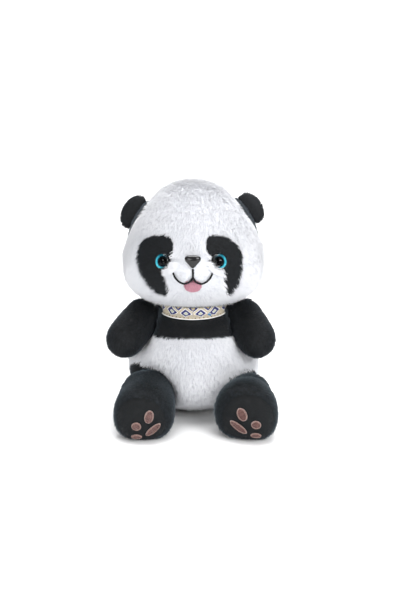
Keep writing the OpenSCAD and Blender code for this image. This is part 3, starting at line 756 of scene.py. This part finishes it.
# It is shorter on the muzzle, beside the nose and mouth, above the patches, round the ears and where there is no room.
length = LONG["head"] * (1 - muzzle) + LONG["muzzle"] * muzzle
length *= 0.55 + 0.45 * smooth_step(np.minimum(nose_gap, mouth_gap), 0.0005, 0.006)
above_patch = smooth_step(p[:, 2], 0.166, 0.172) * (p[:, 1] < 0)
length *= 1 - 0.55 * above_patch * (1 - smooth_step(patch_gap, 0.001, 0.007))
length *= 0.4 + 0.6 * smooth_step(ear_gap, EAR_ROOT, EAR_ROOT + 0.008)
length = np.minimum(length, open_way * 1.4) * (1 - 0.1 * chin)

strands("head_pile", "head", "white_pile", white_pile, p, n, flow, length, white & (muzzle <= 0.5), stray=0.14,
        clump=26, pull=(0.02, 0.16), sag=chin * 0.0008, swirl=0.04, solids=LENSES)
to_ear = by_side(p[:, :, None], middle(EAR["left"][0]), middle(EAR["right"][0])) - p
close = 1 - smooth_step(ear_gap, 0.002, 0.009)
strands("ear_root_pile", "head", "black_pile", black_pile, p, n, to_ear, LONG["ear_root"] + 0.003 * close, root_ring,
        lean=(36, 60), stray=0.25)
strands("muzzle_pile", "head", "short_white_pile", white_pile, p, n, flow, length, white & (muzzle > 0.5),
        lean=(30, 50), width=0.22, clump=7, pull=(0.1, 0.4), solids=LENSES)

p, n = sample(head_skin, SOWN["patch"], keep=lambda c: (c[:, 1] < -0.02) & (c[:, 2] < 0.19) & (c[:, 2] > 0.115)
              & (np.abs(c[:, 0]) > 0.01))
dark = on_patch(p, n) & (eye_gap(p) > LENS_EDGE)
for side, sign in SIDES:
    for piece in strands(f"eye_patch_pile_{side}", "head", "black_pile", black_pile, p, n, (sign * 0.5, 0, -1.0),
                         LONG["patch"], dark & (p[:, 0] * sign > 0), lean=(40, 58), width=0.2, clump=9, stray=0.25,
                         solids=LENSES):
        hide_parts(f"eye_patch_{side}")

p, n = sample(head_skin, SOWN["brow"], keep=lambda c: (c[:, 1] < -0.03) & (c[:, 2] < 0.172) & (c[:, 2] > 0.145)
              & (np.abs(c[:, 0]) > 0.008) & (np.abs(c[:, 0]) < 0.024))
out_x = np.abs(p[:, 0])
eye_x = {side: abs(EYES[side][0]) for side in EYES}
eye_away = np.min([np.hypot(out_x - eye_x[side], p[:, 2] - EYES[side][2]) for side in EYES], axis=0)
brow = ~on_patch(p, n) & (eye_away > EYE_RADIUS - 1.5 * MM) & (eye_away < EYE_RADIUS + 5 * MM)
brow &= (p[:, 2] < EYES["left"][2] - 0.001) & (out_x < by_side(p, eye_x["left"] - 0.003, eye_x["right"] - 0.0055))
flow = np.sign(p) * (1, 0, 0) + DOWN * 0.1
strands("brow_pile", "head", "white_pile", white_pile, p, n, flow, LONG["brow"], brow, lean=(30, 62), width=0.24,
        clump=3, pull=(0.0, 0.2), stray=0.12, solids=LENSES, over=4.5)


# ---- body pile ----

LIMB_TREE = tree(*[node for side, _ in SIDES for node in ARM[side] + LEG[side]], "kerchief", "neck_stuffing")
p, n, open_way = open_points(torso_skin, SOWN["torso"], LIMB_TREE, 0.012, 1.0)
in_neck = (p[:, 2] > 0.1) & (np.hypot(p[:, 0], p[:, 1]) < 0.028)
seen = (p[:, 2] > 0.0016) & ~in_neck
length = np.minimum(LONG["torso"], open_way * 1.3)
dark = (p[:, 2] + waves(p, 0.002, 5) * 0.0006 > SEAM_Z) | on_thigh(p)
strands("belly_pile", "torso", "white_pile", white_pile, p, n, DOWN, length, seen & ~dark, clump=18, pull=(0.08, 0.4),
        stray=0.18)
strands("chest_pile", "torso", "black_pile", black_pile, p, n, DOWN, length * 0.72, seen & dark)

# Longer pile stands up on the shoulders and closes the view between the head and the arms.
p, n, open_way = open_points(torso_skin, SOWN["shoulder"], LIMB_TREE, 0.012, 1.0,
                             keep=lambda c: (c[:, 2] > 0.086) & (np.abs(c[:, 0]) > 0.026))
up_way = clearance(p, np.broadcast_to(-DOWN, p.shape), HEAD_TREE, 0.03)
fade = np.maximum(smooth_step(np.abs(p[:, 0]), 0.026, 0.037), smooth_step(p[:, 1], -0.024, -0.010))
fade *= smooth_step(p[:, 2], 0.086, 0.095)
tall = np.minimum(LONG["shoulder"], np.minimum(open_way * 2.0, up_way * 0.75)) * fade
strands("shoulder_pile", "torso", "black_pile", black_pile, p, n, (0, 0.3, 1.0), tall,
        (up_way > 2.5 * MM) & (tall > 3 * MM), lean=(18, 40), clump=5, stray=0.3)


# ---- limb, ear and tail pile ----

TORSO_TREE = tree(*TORSO_NODES, "kerchief")
UPPER_TREE = tree(*TORSO_NODES, "kerchief", *HEAD_NODES)
for side, sign in SIDES:
    p, n, open_way = open_points(skins[f"arm_{side}"], SOWN["arm"], UPPER_TREE, 0.01, 1.2)
    strands(f"arm_pile_{side}", f"arm_{side}", "black_pile", black_pile, p, n, (sign * 0.25, -0.5, -1.0),
            np.minimum(LONG["arm"], open_way * 1.2), stray=0.26)
    p, n, open_way = open_points(skins[f"leg_{side}"], SOWN["leg"], TORSO_TREE, 0.01, 1.2)
    seen = p[:, 2] > 0.0012
    sole_gap = beside(p, n, tree(f"sole_panel_{side}"), 0.004)
    sole = sole_gap < 0.3 * MM
    seam = 0.45 + 0.55 * smooth_step(sole_gap, 0.0004, 0.0022)
    strands(f"leg_pile_{side}", f"leg_{side}", "black_pile", sheen_painted_leg_pile, p, n, (sign * 0.1, -0.7, -1.0),
            np.minimum(LONG["leg"], open_way * 1.2) * seam, seen & ~sole, stray=0.26)
    sole &= beside(p, n, tree(f"paw_pads_{side}"), 0.003) > 0.5 * MM
    strands(f"sole_pile_{side}", f"leg_{side}", "sole_pile", sole_pile, p, n, DOWN, LONG["sole"], seen & sole,
            lean=(25, 45), width=0.2, clump=6, pull=(0.05, 0.3))
    p, n, _ = open_points(skins[f"ear_{side}"], SOWN["ear"], HEAD_TREE, 0.01, 1.0)
    flow = unit(middle(EAR[side][0]) - joint_place(f"ear_fold_{side}")) + DOWN * 0.2
    strands(f"ear_pile_{side}", f"ear_{side}", "black_pile", black_pile, p, n, flow, LONG["ear"], lean=(35, 58),
            stray=0.2)
p, n, _ = open_points(tail_skin, SOWN["tail"], tree("back_lower_panel"), 0.01, 1.0)
strands("tail_pile", "torso", "white_pile", white_pile, p, n, (0, 0.5, -1.0), LONG["tail"], stray=0.25)


# ---- safety eyes ----

def grid_faces(rows, count, closed):
    """Quads between rows of equal length, round if closed."""
    out = []
    for k in range(rows - 1):
        for i in range(count if closed else count - 1):
            j = (i + 1) % count
            out.append((k * count + i, k * count + j, (k + 1) * count + j, (k + 1) * count + i))
    return out


def tube_faces(rows, count):
    """Quads round a closed tube with its two ends closed."""
    ends = [tuple(range(count - 1, -1, -1)), tuple((rows - 1) * count + i for i in range(count))]
    return [f[::-1] for f in grid_faces(rows, count, True) + ends]


def iris_material():
    """Printed iris: black pupil, glittering teal ring and dark rim, from attribute ring (0 middle, 1 rim). The ring
    also carries painted shade on its inner upper side, and its glitter flakes are partly painted glints.
    """
    mat, t = shader("eye_print", Roughness=0.4, Specular_IOR_Level=0.0)
    plain = ramp(t, attribute(t, "ring"), [(0.0, (0.001, 0.001, 0.002)), (0.53, (0.002, 0.002, 0.003)),
                                           (0.60, (0.008, 0.12, 0.17)), (0.72, (0.05, 0.56, 0.72)),
                                           (0.86, (0.03, 0.40, 0.52)), (0.95, (0.003, 0.05, 0.06))])
    # Painted light and shade: the ring is darkened towards its inner upper side and brightest at its outer lower side.
    painted_shade = ramp(t, attribute(t, "painted_light"), [(0.0, (0.04, 0.05, 0.06)), (0.5, (0.25, 0.27, 0.3)), (1.0, (1, 1, 1))])
    flakes = texture(t, "ShaderNodeTexVoronoi", Scale=3200.0)
    # Glitter flakes of the print, partly painted glints: up to nearly twice as bright as the print.
    glitter_glint = ramp(t, flakes.outputs["Color"], [(0.35, (0.55, 0.6, 0.6)), (0.62, (1, 1, 1)), (0.82, (1.9, 1.9, 1.9))])
    plug(t, mix(t, 1.0, mix(t, 1.0, plain, painted_shade, "MULTIPLY"), glitter_glint, "MULTIPLY"))
    bump(t, flakes.outputs["Distance"], 0.3, 0.0002)
    return mat


def coat(mat, *nodes):
    """Gives CAD nodes that stay in view a new material."""
    for node in nodes:
        NODES[node].data.materials.clear()
        NODES[node].data.materials.append(mat)


eye_print = iris_material()
lens_glass, glass_nodes = shader("lens_glass", Roughness=0.02, IOR=1.22, Transmission_Weight=1.0)
plug(glass_nodes, ramp(glass_nodes, noise(glass_nodes, 300.0), [(0.3, (0.97, 0.99, 0.99)), (0.7, (1, 1, 1))]))
coat(lens_glass, "eye_lens_left", "eye_lens_right")
coat(speckled("washer_plastic", (0.62, 0.62, 0.60), (0.70, 0.70, 0.67), 700.0, 0.45), "eye_washer_left",
     "eye_washer_right", "nose_washer")
coat(speckled("stem_plastic", (0.006, 0.006, 0.007), (0.012, 0.012, 0.013), 900.0, 0.3), "eye_stem_left",
     "eye_stem_right")
coat(speckled("lining", (0.55, 0.55, 0.50), (0.66, 0.66, 0.61), 1400.0, 0.85, 0.4, 0.0003), "pellet_bag")

IRIS_ROWS, IRIS_COUNT = 9, 48
IRIS_DOME = 0.5 * MM
for side, sign in SIDES:
    washer = middle(f"eye_washer_{side}")
    aim = unit(EYES[side] - washer)
    rear = (node_arrays(f"eye_lens_{side}")[0] @ aim).min() + 0.12 * MM
    base = washer + aim * (rear - washer @ aim)
    across = unit(np.cross(aim, (0, 0, 1)))
    rise = np.cross(across, aim)
    verts, ring, painted_light = [], [], []
    for k in range(IRIS_ROWS):
        share = k / (IRIS_ROWS - 1)
        r = max(share * (EYE_RADIUS - 0.35 * MM), 0.02 * MM)
        for i in range(IRIS_COUNT):
            a = 2 * math.pi * i / IRIS_COUNT
            spoke = across * math.cos(a) + rise * math.sin(a)
            verts.append(base + spoke * r + aim * IRIS_DOME * (1 - share ** 2))
            ring.append(share)
            # Painted light and shade for each point: highest at the ring's outer lower side, lowest at its inner upper
            # side.
            painted_light.append(0.5 + 0.5 * (math.cos(a) * np.sign(across[0]) * sign * 0.85 - math.sin(a) * 0.5))
    iris = new_object(f"iris_{side}", verts,
                      grid_faces(IRIS_ROWS, IRIS_COUNT, True) + [tuple(range(IRIS_COUNT - 1, -1, -1))])
    float_attribute(iris.data, "ring", ring)
    float_attribute(iris.data, "painted_light", np.clip(painted_light, 0, 1))
    dress(iris, eye_print, "head", "eye_print")


# ---- nose, mouth and tongue ----

NOSE_TURNS, NOSE_ROWS = 72, 15
NOSE_DEEP = 0.0046
DOME_FROM, DOME_SWEEP = 4, 108


def nose_piece():
    """Moulded nose: the CAD outline, domed to the front, with a soft dip between the nostril bulges."""
    low, high = box("nose")
    mid = np.array([0, 0, low[2] * 0.42 + high[2] * 0.58])
    angles = [2 * math.pi * i / NOSE_TURNS for i in range(NOSE_TURNS)]
    outline = []
    for a in angles:
        d = np.array([math.cos(a), 0, math.sin(a)])
        far = [NOSE_TREE.ray_cast(Vector(mid + d * 0.02 + np.array([0, low[1] + y, 0])), Vector(-d), 0.02)[0]
               for y in (0.0028, 0.0036)]
        outline.append(np.mean([np.linalg.norm((np.array(q) - mid)[[0, 2]]) for q in far if q is not None]))
    outline = np.array(outline)
    for _ in range(3):
        outline = outline * 0.5 + (np.roll(outline, 1) + np.roll(outline, -1)) * 0.25
    verts = []
    for k in range(NOSE_ROWS):
        t = math.radians(DOME_FROM + DOME_SWEEP * k / (NOSE_ROWS - 1))
        wide, deep = math.sin(t) ** 0.8, (1 - math.cos(t)) / (1 - math.cos(math.radians(DOME_FROM + DOME_SWEEP)))
        for far, a in zip(outline, angles):
            x, z = far * wide * math.cos(a), far * wide * math.sin(a)
            dip = 0.35 * MM * math.exp(-(x / 0.0016) ** 2) * smooth_step(-z, -0.001, 0.004) * (deep < 0.8)
            verts.append((x, low[1] + deep * NOSE_DEEP + dip, mid[2] + z))
    plastic = speckled("nose_plastic", (0.002, 0.002, 0.002), (0.004, 0.004, 0.005), 1500.0, 0.12, 0.12, 0.0001,
                       Specular_IOR_Level=0.5)
    dress(new_object("nose_shell", verts, tube_faces(NOSE_ROWS, NOSE_TURNS)), plastic, "head", "nose_plastic", "nose")


nose_piece()


def surface_spot(bvh, start, way, lift):
    """Where a ray meets the surface, lifted off it, and the surface's normal there."""
    hit, normal, _, _ = bvh.ray_cast(Vector(start), Vector(way), 0.3)
    return np.array(hit) + np.array(normal) * lift, np.array(normal)


def thread_rings(spots, radius, sides=6, ends=0.35, twist=0.0):
    """One stitch: a thread through points with normals, thin at both ends, with plies that wind round it."""
    points, up = zip(*spots)
    count = len(points)
    verts = []
    for k in range(count):
        d = unit(points[min(k + 1, count - 1)] - points[max(k - 1, 0)])
        s = unit(np.cross(d, up[k]))
        t = np.cross(s, d)
        w = ends + (1 - ends) * math.sin(math.pi * (k + 0.5) / count) ** 0.5
        for i in range(sides):
            a = 2 * math.pi * i / sides
            ply = 1 + twist * math.cos(3 * a + 5.0 * k)
            verts.append(points[k] + (s * math.cos(a) + t * math.sin(a)) * radius * w * ply)
    return verts, tube_faces(count, sides)


def joined(name, pieces, values):
    """One object of many small meshes, with float attributes given for each of them."""
    verts, faces, rows = [], [], []
    for v, f, *marks in pieces:
        base = len(verts)
        verts += list(v)
        faces += [tuple(i + base for i in corner) for corner in f]
        rows += [marks] * len(v)
    obj = new_object(name, verts, faces)
    for k, label in enumerate(values):
        float_attribute(obj.data, label, [r[k] for r in rows])
    return obj


def smooth_path(points, steps):
    """Catmull-Rom curve through the points."""
    p = np.array([points[0], *points, points[-1]], float)
    out = []
    for a, b, c, d in zip(p, p[1:], p[2:], p[3:]):
        for k in range(steps):
            t = k / steps
            out.append(0.5 * (2 * b + (c - a) * t + (2 * a - 5 * b + 4 * c - d) * t * t
                              + (3 * b - a - 3 * c + d) * t ** 3))
    return np.array(out + [p[-2]])


def spaced(path, count=None, step=None):
    """Points the same distance apart along a path, and how far along it each lies."""
    at = np.concatenate([[0], np.cumsum(np.linalg.norm(np.diff(path, axis=0), axis=1))])
    want = np.linspace(0, at[-1], count or max(2, int(round(at[-1] / step)) + 1))
    return np.stack([np.interp(want, at, path[:, k]) for k in range(path.shape[1])], axis=1), want


# The mouth's curve as in part.scad, in millimetres: half of the curl, then the upright line.
CURL = [(17.5, 148), (14.5, 142.2), (8, 138.6), (2.4, 140.8)]
JOIN = (0, 143.5)
UPRIGHT = [(0, 151.6), (0, 147.5), JOIN]
STITCH_POINT = 2.9 * MM / 6
MOUTH_THREAD, STRAND_SHIFT = 0.68 * MM, 0.36 * MM


def mouth_piece():
    """Two threads side by side along the mouth's curve, laid as short overlapping stitches."""
    stitches = []
    both = [(-x, z) for x, z in CURL] + [JOIN] + CURL[::-1]
    for line in (both, UPRIGHT):
        path = spaced(smooth_path(np.array(line) * MM, 8), step=STITCH_POINT)[0]
        for k in range(0, len(path) - 4, 4):
            part = path[k:k + 7]
            if len(part) < 4:
                continue
            last = len(part) - 1
            lifts = [(0.95 + 0.35 * math.sin(math.pi * i / last)) * MM for i in range(len(part))]
            places = [surface_spot(HEAD_TREE, (x, -0.2, z), (0, 1, 0), lift) for (x, z), lift in zip(part, lifts)]
            for shift in (-STRAND_SHIFT, STRAND_SHIFT):
                spots = []
                for i, (q, normal) in enumerate(places):
                    d = unit(places[min(i + 1, last)][0] - places[max(i - 1, 0)][0])
                    spots.append((q + np.cross(d, normal) * shift, normal))
                stitches.append((*thread_rings(spots, MOUTH_THREAD, twist=0.1), rng.random()))
    mat, t = shader("black_thread", Roughness=0.6, Specular_IOR_Level=0.2)
    plug(t, ramp(t, attribute(t, "shade"), [(0, (0.002, 0.002, 0.003)), (1, (0.010, 0.010, 0.012))]))
    bump(t, noise(t, 2500.0), 0.3, 0.0001)
    dress(joined("mouth_thread", stitches, ("shade",)), mat, "head", "black_thread", "mouth_stitching")


mouth_piece()

tongue_mid = middle("tongue") + np.array([0, 0.002, 0])
tongue = skin("tongue_felt", "head", ("tongue",), tongue_mid, tongue_mid, (36, 9, 0), "pink_pile",
              backing("pink_backing", (0.45, 0.25, 0.30)), sink=0.1, cap=0.3, soften=1)
p, n = sample(tongue, SOWN["tongue"])
strands("tongue_pile", "head", "pink_pile", pink_pile, p, n, DOWN, LONG["tongue"], n[:, 1] < 0.1, lean=(25, 45),
        width=0.15, clump=5, pull=(0.05, 0.3))


# ---- embroidered paw pads ----

PAD_THREAD = 0.25 * MM
THREAD_PITCH = 0.44 * MM
BORDER = 0.70 * MM


def satin_material():
    """Satin stitch: attribute zone 0 for the fill and 1 for the border, shade for each thread."""
    mat, t = shader("satin_thread", Roughness=0.38, Sheen_Weight=0.5, Sheen_Roughness=0.3)
    shade = attribute(t, "shade")
    fill = ramp(t, shade, [(0, (0.060, 0.024, 0.021)), (1, (0.150, 0.066, 0.056))])
    rim = ramp(t, shade, [(0, (0.20, 0.115, 0.098)), (1, (0.34, 0.215, 0.185))])
    plug(t, mix(t, attribute(t, "zone"), fill, rim))
    bump(t, noise(t, 3000.0, 2.0), 0.3, 0.0001)
    return mat


def components(verts, tris):
    """The separate solids of a mesh, as arrays of vertices: each takes the lowest label that its triangles reach."""
    same = np.unique(np.round(verts, 6), axis=0, return_inverse=True)[1].ravel()
    corners, label, before = same[tris], np.arange(len(verts)), None
    while before is None or (label != before).any():
        before = label.copy()
        np.minimum.at(label, corners.ravel(), np.repeat(label[corners].min(axis=1), 3))
    return [verts[label[same] == k] for k in dict.fromkeys(label[same].tolist())]


def pad_stitches(points, sole):
    """Stitches of one pad: threads side by side across it, and a border of short ones round it."""
    mid = points.mean(axis=0)
    axes = np.linalg.eigh(np.cov((points - mid).T))[1]
    out = axes[:, 0] * np.sign(-axes[1, 0])
    long_axis, short_axis = axes[:, 2], np.cross(out, axes[:, 2])
    half_long = np.abs((points - mid) @ long_axis).max() * 0.80
    half_short = np.abs((points - mid) @ short_axis).max() * 0.92

    def place(a, b, lift):
        return surface_spot(sole, mid + long_axis * a + short_axis * b + out * 0.01, -out, lift * MM)

    made = []
    inner_long, inner_short = half_long - BORDER * 0.6, half_short - BORDER * 0.6
    for a in np.arange(-inner_long + THREAD_PITCH, inner_long, THREAD_PITCH):
        reach = inner_short * math.sqrt(max(0, 1 - (a / inner_long) ** 2))
        if reach < 0.4 * MM:
            continue
        spots = [place(a + rng.normal(0, 0.03) * MM, reach * s, 1.3 + 0.75 * (1 - s * s))
                 for s in np.linspace(-1, 1, 7)]
        made.append((*thread_rings(spots, PAD_THREAD, 5, 0.6), 0.0, rng.random()))
    turn = np.linspace(0, 2 * math.pi, 73)
    around = spaced(np.stack([half_long * np.cos(turn), half_short * np.sin(turn)], axis=1), step=THREAD_PITCH)[0]
    for a, b in around[:-1]:
        scale = 1 - BORDER / math.hypot(a, b)
        spots = [place(a * s, b * s, 0.9 + 1.15 * math.sin(math.pi * w))
                 for w, s in ((0, 1.05), (0.25, 1 + (scale - 1) * 0.3), (0.5, 1 + (scale - 1) * 0.6), (0.85, scale))]
        made.append((*thread_rings(spots, PAD_THREAD, 5, 0.7), 1.0, rng.random()))
    return made


satin = satin_material()
for side, _ in SIDES:
    pads, sole = components(*node_arrays(f"paw_pads_{side}")), tree(*LEG[side])
    made = [stitch for points in pads for stitch in pad_stitches(points, sole)]
    dress(joined(f"paw_stitching_{side}", made, ("zone", "shade")), satin, f"leg_{side}", "satin_thread",
          f"paw_pads_{side}")


# ---- kerchief ----

PRINT_RADIUS = 40
REPEAT = 2 * math.pi * PRINT_RADIUS / 14
NAVY, PALE = (0.012, 0.014, 0.12), (0.80, 0.80, 0.80)


def print_material():
    """Printed cotton: a row of concentric diamonds, half ones above, a star, and dots along the hem, on beige.

    Attributes print_u and print_v give the place on the cloth in millimetres, along it and up from its hem.
    """
    mat, t = shader("printed_cotton", Roughness=0.8, Sheen_Weight=0.3)

    def calc(op, a, b=None):
        node = t.nodes.new("ShaderNodeMath")
        node.operation = op
        for socket, value in zip(node.inputs, (a, b)):
            if isinstance(value, bpy.types.NodeSocket):
                t.links.new(value, socket)
            elif value is not None:
                socket.default_value = value
        return node.outputs[0]

    along, down = attribute(t, "print_u"), attribute(t, "print_v")

    def apart(value, centre):
        return calc("ABSOLUTE", calc("SUBTRACT", value, centre))

    def saw(period, shift=0.0):
        """0 in the middle of each repeat and 1 at its ends."""
        return calc("MULTIPLY", apart(calc("FRACT", calc("ADD", calc("DIVIDE", along, period), shift)), 0.5), 2.0)

    def diamond(shift, height):
        return calc("ADD", calc("MULTIPLY", saw(REPEAT, shift), 1.05), calc("DIVIDE", apart(down, height), 6.2))

    weave = noise(t, 1500.0, 2.0)
    ground = ramp(t, weave, [(0.35, (0.46, 0.40, 0.29)), (0.65, (0.55, 0.49, 0.37))])
    whole = diamond(0.0, 8.6)
    rings = ramp(t, whole, [(0.0, (0.50, 0.52, 0.36)), (0.26, (0.62, 0.66, 0.68)), (0.38, NAVY), (0.80, PALE)],
                 "CONSTANT")
    color = mix(t, below(t, whole, 0.93), ground, rings)
    half = diamond(0.5, 14.8)
    upper = ramp(t, half, [(0.0, (0.50, 0.42, 0.20)), (0.30, NAVY), (0.62, PALE)], "CONSTANT")
    color = mix(t, below(t, half, 0.72), color, upper)
    star = calc("ADD", calc("POWER", apart(along, 20.0), 0.62), calc("POWER", apart(down, 5.6), 0.62))
    color = mix(t, below(t, calc("DIVIDE", star, 4.0), 0.60), color, (0.05, 0.20, 0.42))
    dots = calc("ADD", calc("POWER", calc("MULTIPLY", saw(4.6), 2.3), 2.0),
                calc("POWER", calc("SUBTRACT", down, 1.9), 2.0))
    ink = ramp(t, calc("FRACT", calc("DIVIDE", along, 9.2)), [(0, (0.01, 0.01, 0.015)), (0.5, (0.16, 0.07, 0.03))],
               "CONSTANT")
    color = mix(t, below(t, dots, 0.55), color, ink)
    plug(t, mix(t, below(t, down, 0.7), color, (0.82, 0.82, 0.80)))
    bump(t, weave, 0.35, 0.0002)
    return mat


KERCHIEF_TURNS, KERCHIEF_ROWS = 168, 21
CHEST_TOP = 0.1040
CLOTH_LIFT = 1.3 * MM


def kerchief_piece():
    """A folded band of cotton round the neck that falls in a soft crescent over the chest."""
    chest = tree("chest_panel", "back_upper_panel")
    low, high = (corner[2] for corner in box("kerchief"))
    verts, print_u, print_v = [], [], []
    for i in range(KERCHIEF_TURNS):
        lon = 2 * math.pi * i / KERCHIEF_TURNS
        out = np.array([math.sin(lon), -math.cos(lon), 0])
        front = max(0.0, (math.cos(lon) - 0.42) / 0.58)
        flank = math.exp(-((math.degrees(min(lon, 2 * math.pi - lon)) - 72) / 34) ** 2)
        rise = 0.0010 + 0.0024 * front + 0.0036 * flank
        path = [out * radius + (0, 0, high + up)
                for radius, up in ((0.0275, -0.0010), (0.0300, rise), (0.0328, rise * 0.9))]
        for z in np.linspace(high - 0.0030, high - 0.0036 - (high - low - 0.0050) * front, 6):
            hit = chest.ray_cast(Vector(out * 0.08 + np.array([0, 0, min(z, CHEST_TOP)])), Vector(-out), 0.08)[0]
            reach = np.linalg.norm(np.array(hit)[:2]) if hit else 0.03
            path.append(out * (reach + CLOTH_LIFT) + (0, 0, z))
        row, along = spaced(smooth_path(np.array(path), 6), count=KERCHIEF_ROWS)
        for k in range(KERCHIEF_ROWS):
            fold = math.sin(lon * 7 + 1.3 * k / KERCHIEF_ROWS) * 0.35 + math.sin(lon * 13 + 2) * 0.25
            fold += 0.5 * math.sin(k * 1.1 + lon * 3)
            verts.append(row[k] + out * (0.5 + 0.55 * fold) * MM * smooth_step(k, 1, 5))
            print_u.append(lon * PRINT_RADIUS)
            print_v.append((along[-1] - along[k]) / MM)
    faces = []
    for i in range(KERCHIEF_TURNS):
        a, b = i * KERCHIEF_ROWS, (i + 1) % KERCHIEF_TURNS * KERCHIEF_ROWS
        faces += [(a + k, b + k, b + k + 1, a + k + 1) for k in range(KERCHIEF_ROWS - 1)]
    obj = new_object("kerchief_cloth", verts, faces)
    float_attribute(obj.data, "print_u", print_u)
    float_attribute(obj.data, "print_v", print_v)
    thicken(obj, 0.5 * MM)
    obj.data.shade_smooth()
    dress(obj, print_material(), "torso", "printed_cotton", "kerchief")


kerchief_piece()


# ---- limb roots, neck and label ----

for side, _ in SIDES:
    around = tree(*TORSO_NODES, *ARM[side], *LEG[side])
    for part in ("shoulder", "hip"):
        node = f"{part}_wad_{side}"
        root = new_object(f"{part}_root_{side}", *grid_form(tree(node), middle(node), middle(node), 36, 9, 0))
        relax(root, 1)
        dress(root, black_backing, f"{part}_{side}", "black_pile", node)
        p, n, _ = open_points(root, SOWN["root"], around, 0.008, 1.0)
        strands(f"{part}_root_pile_{side}", f"{part}_{side}", "black_pile", black_pile, p, n, DOWN, LONG["root"])

neck_mid = middle("neck_stuffing")
neck = new_object("neck_pile_base", *grid_form(tree("neck_stuffing"), neck_mid, neck_mid, 48, 8, 0))
dress(neck, black_backing, "neck", "black_pile", "neck_stuffing")
p, n, _ = open_points(neck, SOWN["neck"], UPPER_TREE, 0.008, 1.2)
strands("neck_pile", "neck", "black_pile", black_pile, p, n, DOWN, LONG["neck"])

LABEL_ROWS, LABEL_COLUMNS = 25, 7
LABEL_LONG, LABEL_WIDE = 0.0125, 0.011
LABEL_GAP = 0.42
FOLD_AT, FOLD_HALF = 0.5, 0.04


def label_piece():
    """Blank satin tape, folded once, held in the side seam."""
    mid = middle("care_label")
    out = unit(mid * (1, 1, 0))
    across = np.array([-out[1], out[0], 0])
    start = mid - out * 0.0075
    rows = []
    for k in range(LABEL_ROWS):
        t = k / (LABEL_ROWS - 1)
        if abs(t - FOLD_AT) > FOLD_HALF:
            far, off = min(t, 1 - t) / (FOLD_AT - FOLD_HALF) * LABEL_LONG, math.copysign(LABEL_GAP, FOLD_AT - t)
        else:
            a = (t - FOLD_AT) / FOLD_HALF * math.pi / 2
            far, off = LABEL_LONG + LABEL_GAP * MM * math.cos(a), -LABEL_GAP * math.sin(a)
        sag = (far / LABEL_LONG) ** 2 * 0.0022
        rows.append(start + out * far + across * off * MM * (1 + 0.8 * math.sin(t * 9)) + DOWN * sag)
    verts = [r + (0, 0, (j / (LABEL_COLUMNS - 1) - 0.5) * LABEL_WIDE) for r in rows for j in range(LABEL_COLUMNS)]
    obj = new_object("label_tape", verts, grid_faces(LABEL_ROWS, LABEL_COLUMNS, False))
    thicken(obj, 0.18 * MM)
    tape = speckled("label_tape", (0.78, 0.78, 0.76), (0.88, 0.88, 0.86), 2600.0, 0.4, 0.3, 0.0001, Sheen_Weight=0.4)
    dress(obj, tape, "torso", "label_tape", "care_label")


label_piece()


# ---- studio ----

COVE_START, COVE_RADIUS = 0.75, 0.45
profile = [(-2.5, 0)]
for angle in range(0, 91, 6):
    a = math.radians(angle)
    profile.append((COVE_START + COVE_RADIUS * math.sin(a), COVE_RADIUS - COVE_RADIUS * math.cos(a)))
profile.append((COVE_START + COVE_RADIUS, 2.6))
floor = new_object("floor", [(x, y, z) for y, z in profile for x in (-3, 3)],
                   [(2 * k, 2 * k + 1, 2 * k + 3, 2 * k + 2) for k in range(len(profile) - 1)])
paper, paper_nodes = shader("floor_paper", Roughness=0.9)
plug(paper_nodes, ramp(paper_nodes, noise(paper_nodes, 3.0), [(0.3, (0.86, 0.865, 0.87)), (0.7, (0.90, 0.90, 0.905))]))
floor.data.materials.append(paper)
area_light("key", (0.75, -1.05, 0.80), (0, 0, 0.11), 0.8, 14)
area_light("front", (-0.45, -1.2, 0.45), (0, 0, 0.11), 0.8, 5)
area_light("top", (0.1, 0.05, 1.4), (0, 0, 0.1), 1.2, 12)
area_light("backdrop", (0, 0.35, 1.5), (0, 1.2, 0.3), 1.2, 22)
world = bpy.data.worlds.new("studio")
world.use_nodes = True
world.node_tree.nodes["Background"].inputs["Color"].default_value = (1, 1, 1, 1)
world.node_tree.nodes["Background"].inputs["Strength"].default_value = 0.55
bpy.context.scene.world = world
